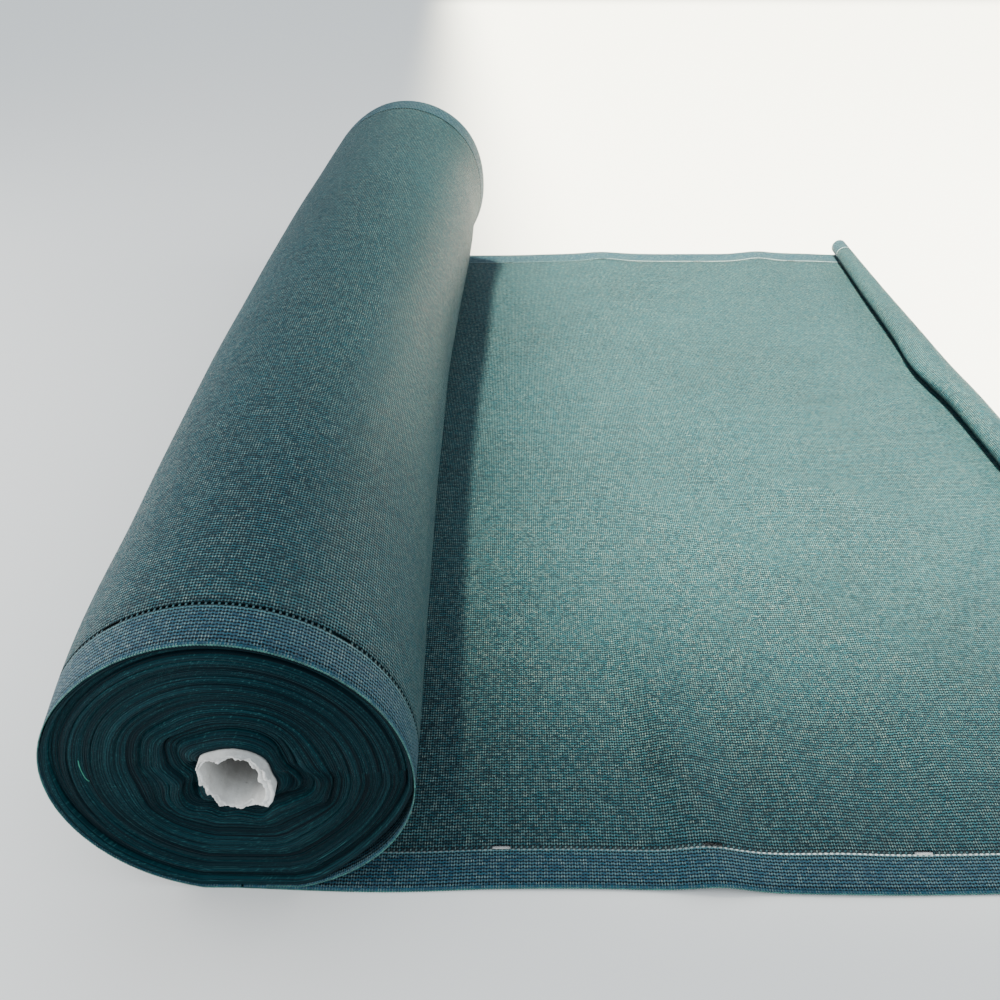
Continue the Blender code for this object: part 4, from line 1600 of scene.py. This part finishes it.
class StitchTree:
    """A Geometry Nodes tree that sets one small stitch on each point of a guide."""

    INPUTS = (
        ("Stitch Length", "NodeSocketFloat", 0.004),
        ("Stitch Width", "NodeSocketFloat", 0.001),
        ("Stitch Height", "NodeSocketFloat", 0.001),
        ("Unevenness", "NodeSocketFloat", 0.15),
        ("Seed", "NodeSocketInt", 3),
        ("Finish", "NodeSocketMaterial", None),
    )

    def __init__(self) -> None:
        """Builds the tree."""
        self.tree = bpy.data.node_groups.new("stitches", "GeometryNodeTree")
        face = self.tree.interface
        face.new_socket(name="Guide", in_out="INPUT", socket_type="NodeSocketGeometry")
        self.identifiers: dict[str, str] = {}
        for label, kind, value in self.INPUTS:
            socket = face.new_socket(name=label, in_out="INPUT", socket_type=kind)
            if value is not None:
                socket.default_value = value
            self.identifiers[label] = socket.identifier
        face.new_socket(name="Stitches", in_out="OUTPUT", socket_type="NodeSocketGeometry")
        self.wire()

    def wire(self) -> None:
        """Joins the tree's nodes."""
        desk = NodeDesk(self.tree)
        entry = desk.add("NodeGroupInput").outputs
        leave = desk.add("NodeGroupOutput")
        bead = desk.add("GeometryNodeMeshUVSphere")
        bead.inputs["Segments"].default_value = 6
        bead.inputs["Rings"].default_value = 4
        bead.inputs["Radius"].default_value = 0.5
        along = desk.add("GeometryNodeInputNamedAttribute", data_type="FLOAT_VECTOR")
        along.inputs["Name"].default_value = "along"
        outward = desk.add("GeometryNodeInputNamedAttribute", data_type="FLOAT_VECTOR")
        outward.inputs["Name"].default_value = "outward"
        turn = desk.add("FunctionNodeAxesToRotation", primary_axis="X", secondary_axis="Z")
        desk.join(along.outputs["Attribute"], turn.inputs["Primary Axis"])
        desk.join(outward.outputs["Attribute"], turn.inputs["Secondary Axis"])
        random = desk.add("FunctionNodeRandomValue", data_type="FLOAT")
        low = desk.math("SUBTRACT", 1.0, entry["Unevenness"])
        high = desk.math("ADD", 1.0, entry["Unevenness"])
        floats = [socket for socket in random.inputs if socket.enabled and socket.name in ("Min", "Max")]
        desk.join(low, floats[0])
        desk.join(high, floats[1])
        desk.join(entry["Seed"], random.inputs["Seed"])
        value = [socket for socket in random.outputs if socket.enabled][0]
        size = desk.vector(
            desk.math("MULTIPLY", entry["Stitch Length"], value), entry["Stitch Width"],
            desk.math("MULTIPLY", entry["Stitch Height"], value),
        )
        copies = desk.add("GeometryNodeInstanceOnPoints")
        desk.join(entry["Guide"], copies.inputs["Points"])
        desk.join(bead.outputs["Mesh"], copies.inputs["Instance"])
        desk.join(turn.outputs["Rotation"], copies.inputs["Rotation"])
        desk.join(size, copies.inputs["Scale"])
        real = desk.add("GeometryNodeRealizeInstances")
        desk.join(copies.outputs["Instances"], real.inputs["Geometry"])
        soft = desk.add("GeometryNodeSetShadeSmooth")
        desk.join(real.outputs["Geometry"], soft.inputs["Geometry"])
        finish = desk.add("GeometryNodeSetMaterial")
        desk.join(soft.outputs["Geometry"], finish.inputs["Geometry"])
        desk.join(entry["Finish"], finish.inputs["Material"])
        desk.join(finish.outputs["Geometry"], leave.inputs["Stitches"])

    def grow(self, name: str, guides: list[Guide], **values: object) -> bpy.types.Object:
        """Makes the stitches of some guides as one plain mesh.

        Args:
            name: The piece's name.
            guides: Where the stitches go.
            **values: The tree's inputs, with an underscore for each space.

        Returns:
            The piece.
        """
        mesh = bpy.data.meshes.new(name)
        points = np.concatenate([guide.points for guide in guides])
        mesh.from_pydata(points.tolist(), [], [])
        for label in ("along", "outward"):
            attribute = mesh.attributes.new(label, "FLOAT_VECTOR", "POINT")
            vectors = np.concatenate([getattr(guide, label) for guide in guides])
            attribute.data.foreach_set("vector", vectors.astype(np.float32).ravel())
        piece = bpy.data.objects.new(name, mesh)
        bpy.context.scene.collection.objects.link(piece)
        modifier = piece.modifiers.new("stitches", "NODES")
        modifier.node_group = self.tree
        for label, value in values.items():
            modifier[self.identifiers[label.replace("_", " ")]] = value
        graph = bpy.context.evaluated_depsgraph_get()
        made = bpy.data.meshes.new_from_object(piece.evaluated_get(graph))
        piece.modifiers.clear()
        piece.data = made
        bpy.data.meshes.remove(mesh)
        return piece


@dataclass
class EdgeWork:
    """The ladder rows' rungs and the stitches along both selvages."""

    turn: OuterTurn
    stretch: FlatStretch
    tree: StitchTree

    def lines(self, from_middle: float, inset: float) -> list[np.ndarray]:
        """Gives the lines that lie that far from the cloth's middle, on the roll and on the floor."""
        found = []
        for side in (-1, 1):
            found.append(self.turn.line(side * from_middle, inset)[::-1])
            found.append(self.stretch.line(side * from_middle, inset))
        return found

    def rungs(self, finish: bpy.types.Material) -> bpy.types.Object:
        """Makes the rungs that bridge the ladder rows."""
        across = np.array([0.0, 1.0, 0.0])
        lines = [self.turn.line(side * CLOTH.ladder_y, CLOTH.thickness * 0.45)[::-1] for side in (-1, 1)]
        guides = [guide_on(line, across, CLOTH.rung_pitch, True, slot_skip) for line in lines]
        return self.tree.grow(
            "ladder_rungs", guides, Stitch_Length=0.0080, Stitch_Width=0.0026, Stitch_Height=0.0008,
            Unevenness=0.18, Seed=5, Finish=finish,
        )

    def selvage(self, finish: bpy.types.Material) -> bpy.types.Object:
        """Makes the chain of stitches along both edges of the cloth."""
        across = np.array([0.0, 1.0, 0.0])
        lines = self.lines(CLOTH.half_width, CLOTH.thickness * 0.5)
        guides = [guide_on(line, across, CLOTH.course, False, no_skip) for line in lines]
        return self.tree.grow(
            "selvage_chain", guides, Stitch_Length=0.0036, Stitch_Width=0.0019, Stitch_Height=0.0016,
            Unevenness=0.12, Seed=8, Finish=finish,
        )


@dataclass
class SnaggedYarn:
    """A pulled bright yarn caught between two turns of the near end."""

    core: CoreForm
    radius: float = 0.00045
    route: tuple = (
        (-0.6508, -0.9145, 0.208), (-0.6502, -0.9168, 0.202), (-0.6496, -0.9172, 0.195),
        (-0.6490, -0.9168, 0.188), (-0.6482, -0.9168, 0.182), (-0.6474, -0.9140, 0.177),
    )

    def build(self) -> bpy.types.Object:
        """Builds the yarn as a thin tube."""
        curve = bpy.data.curves.new("snagged_yarn", "CURVE")
        curve.dimensions = "3D"
        spline = curve.splines.new("NURBS")
        spline.points.add(len(self.route) - 1)
        for point, place in zip(spline.points, self.route):
            point.co = (*place, 1.0)
        spline.use_endpoint_u = True
        spline.order_u = 4
        curve.bevel_depth = self.radius
        curve.bevel_resolution = 2
        curve.use_fill_caps = True
        holder = bpy.data.objects.new("snag_curve", curve)
        bpy.context.scene.collection.objects.link(holder)
        graph = bpy.context.evaluated_depsgraph_get()
        mesh = bpy.data.meshes.new_from_object(holder.evaluated_get(graph))
        bpy.data.objects.remove(holder)
        piece = bpy.data.objects.new("snagged_yarn", mesh)
        bpy.context.scene.collection.objects.link(piece)
        return piece


@dataclass(frozen=True)
class Lamp:
    """One soft area light."""

    name: str
    place: tuple[float, float, float]
    aim: tuple[float, float, float]
    size: tuple[float, float]
    power: float
    colour: tuple[float, float, float]
    spread_degrees: float = 180.0

    def light(self) -> None:
        """Adds the light to the scene."""
        data = bpy.data.lights.new(self.name, "AREA")
        data.shape = "RECTANGLE"
        data.size, data.size_y = self.size
        data.energy = self.power
        data.color = self.colour
        data.spread = math.radians(self.spread_degrees)
        lamp = bpy.data.objects.new(self.name, data)
        back = (Vector(self.place) - Vector(self.aim)).normalized()
        sideways = Vector((1.0, 0.0, 0.0)) if abs(back.x) < 0.7 else Vector((0.0, 1.0, 0.0))
        sideways = (sideways - back * sideways.dot(back)).normalized()
        axes = Matrix((sideways, back.cross(sideways), back)).transposed().to_4x4()
        lamp.matrix_world = Matrix.Translation(self.place) @ axes
        bpy.context.scene.collection.objects.link(lamp)


@dataclass
class Studio:
    """The plain pale floor, the soft light and the camera at the photograph's angle."""

    camera_place: tuple[float, float, float] = (-0.2265, -1.565, 0.987)
    pitch_down: float = 35.41
    yaw: float = -0.77
    roll: float = -0.21
    focal_pixels: float = 1003.6
    image_pixels: float = 1000.0
    sensor: float = 36.0
    lamps: tuple[Lamp, ...] = (
        Lamp("gridded key", (0.55, 2.97, 3.0), (1.30, 2.07, 0.0), (3.25, 5.10), 430.0, (1.0, 0.96, 0.74), 13.0),
        Lamp("left box", (-2.7, -0.8, 1.0), (-0.8, -0.5, 0.1), (2.8, 1.4), 80.0, (1.0, 0.97, 0.92)),
        Lamp("right box", (2.4, 0.5, 1.1), (-0.4, -0.3, 0.25), (2.4, 1.0), 45.0, (1.0, 0.97, 0.92)),
    )

    def camera(self) -> None:
        """Adds the camera."""
        pitch, yaw, roll = (math.radians(v) for v in (self.pitch_down, self.yaw, self.roll))
        forward = Vector((math.sin(yaw) * math.cos(pitch), math.cos(yaw) * math.cos(pitch), -math.sin(pitch)))
        right = Vector((math.cos(yaw), -math.sin(yaw), 0.0))
        up = right.cross(forward)
        turned_right = right * math.cos(roll) + up * math.sin(roll)
        turned_up = up * math.cos(roll) - right * math.sin(roll)
        data = bpy.data.cameras.new("camera")
        data.sensor_width = self.sensor
        data.lens = self.sensor * self.focal_pixels / self.image_pixels
        data.clip_end = 100.0
        camera = bpy.data.objects.new("camera", data)
        axes = Matrix((turned_right, turned_up, -forward)).transposed().to_4x4()
        camera.matrix_world = Matrix.Translation(self.camera_place) @ axes
        bpy.context.scene.collection.objects.link(camera)
        bpy.context.scene.camera = camera

    def floor(self) -> None:
        """Adds the floor just under the cloth."""
        mesh = bpy.data.meshes.new("floor")
        builder = bmesh.new()
        bmesh.ops.create_grid(builder, x_segments=1, y_segments=1, size=30.0)
        builder.to_mesh(mesh)
        builder.free()
        floor = bpy.data.objects.new("floor", mesh)
        floor.location.z = -0.0004
        material, _, shader = begin_material("floor")
        shader.inputs["Base Color"].default_value = (0.86, 0.86, 0.85, 1.0)
        shader.inputs["Roughness"].default_value = 0.9
        mesh.materials.append(material)
        bpy.context.scene.collection.objects.link(floor)

    def world(self) -> None:
        """Sets the even surrounding light."""
        world = bpy.data.worlds.new("studio")
        world.use_nodes = True
        background = world.node_tree.nodes["Background"]
        background.inputs["Color"].default_value = (0.86, 0.94, 1.0, 1.0)
        desk = NodeDesk(world.node_tree)
        _, _, upwards = desk.split(desk.add("ShaderNodeTexCoord").outputs["Generated"])
        desk.join(desk.fade(upwards, 0.05, 0.85, 0.40, 1.40), background.inputs["Strength"])
        bpy.context.scene.world = world

    def build(self) -> None:
        """Sets up everything but the object."""
        self.camera()
        self.floor()
        self.world()
        for lamp in self.lamps:
            lamp.light()


def report(piece: bpy.types.Object) -> None:
    """Logs a piece's name and its count of faces."""
    LOG.info("%s: %d faces", piece.name, len(piece.data.polygons))


def settle(piece: bpy.types.Object, material: bpy.types.Material, slot: Slot, *nodes: str) -> None:
    """Gives a piece its material and its body.

    Args:
        piece: The piece.
        material: Its material.
        slot: The record's material slot for the piece; not used.
        *nodes: The solids that it stands for.
    """
    piece.data.materials.clear()
    piece.data.materials.append(material)
    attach(piece, BODY)
    if nodes:
        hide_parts(*nodes)
    report(piece)


def main() -> None:
    """Builds the pieces in order, dresses them and sets up the studio."""
    logging.basicConfig(level=logging.INFO, format="%(name)s %(message)s")
    Studio().build()
    roll = RollForm()
    core = CoreForm()
    knit = knit_group()
    tape = tape_group()
    wound_knit = KnitFinish("wound knit").material(knit)
    # The flat knit also gets the pale dots of painted light along its ladder rows.
    flat_knit = KnitFinish("flat knit", painted_floor_light_strength=1.0).material(knit)
    edges = EdgeFinish().material(tape)

    turn = OuterTurn(roll)
    outer = turn.build()
    settle(outer, wound_knit, Slot.WOUND, "wound_roll")
    turn.length()

    stretch = FlatStretch(StretchForm())
    flat = stretch.build()
    settle(flat, flat_knit, Slot.FLAT, "loose_stretch")
    stretch.length()

    for end, seed in ((End.NEAR, 11), (End.FAR, 23)):
        turns = WoundTurns(end, roll, core, seed).build()
        settle(turns, edges, Slot.WOUND, "wound_roll")

    tube = PaperCore(core).build()
    settle(tube, PaperFinish().material(), Slot.PAPER, "paper_core")

    work = EdgeWork(turn, stretch, StitchTree())
    rung_yarn = YarnFinish("rung yarn", (0.010, 0.052, 0.066, 1.0), (0.022, 0.095, 0.110, 1.0)).material()
    edge_yarn = YarnFinish("edge yarn", (0.014, 0.090, 0.082, 1.0), (0.045, 0.20, 0.175, 1.0)).material()
    settle(work.rungs(rung_yarn), rung_yarn, Slot.WOUND)
    settle(work.selvage(edge_yarn), edge_yarn, Slot.FLAT)
    pulled = YarnFinish("pulled yarn", (0.01, 0.20, 0.13, 1.0), (0.03, 0.34, 0.22, 1.0)).material()
    settle(SnaggedYarn(core).build(), pulled, Slot.WOUND)


if __name__ == "__main__":
    main()
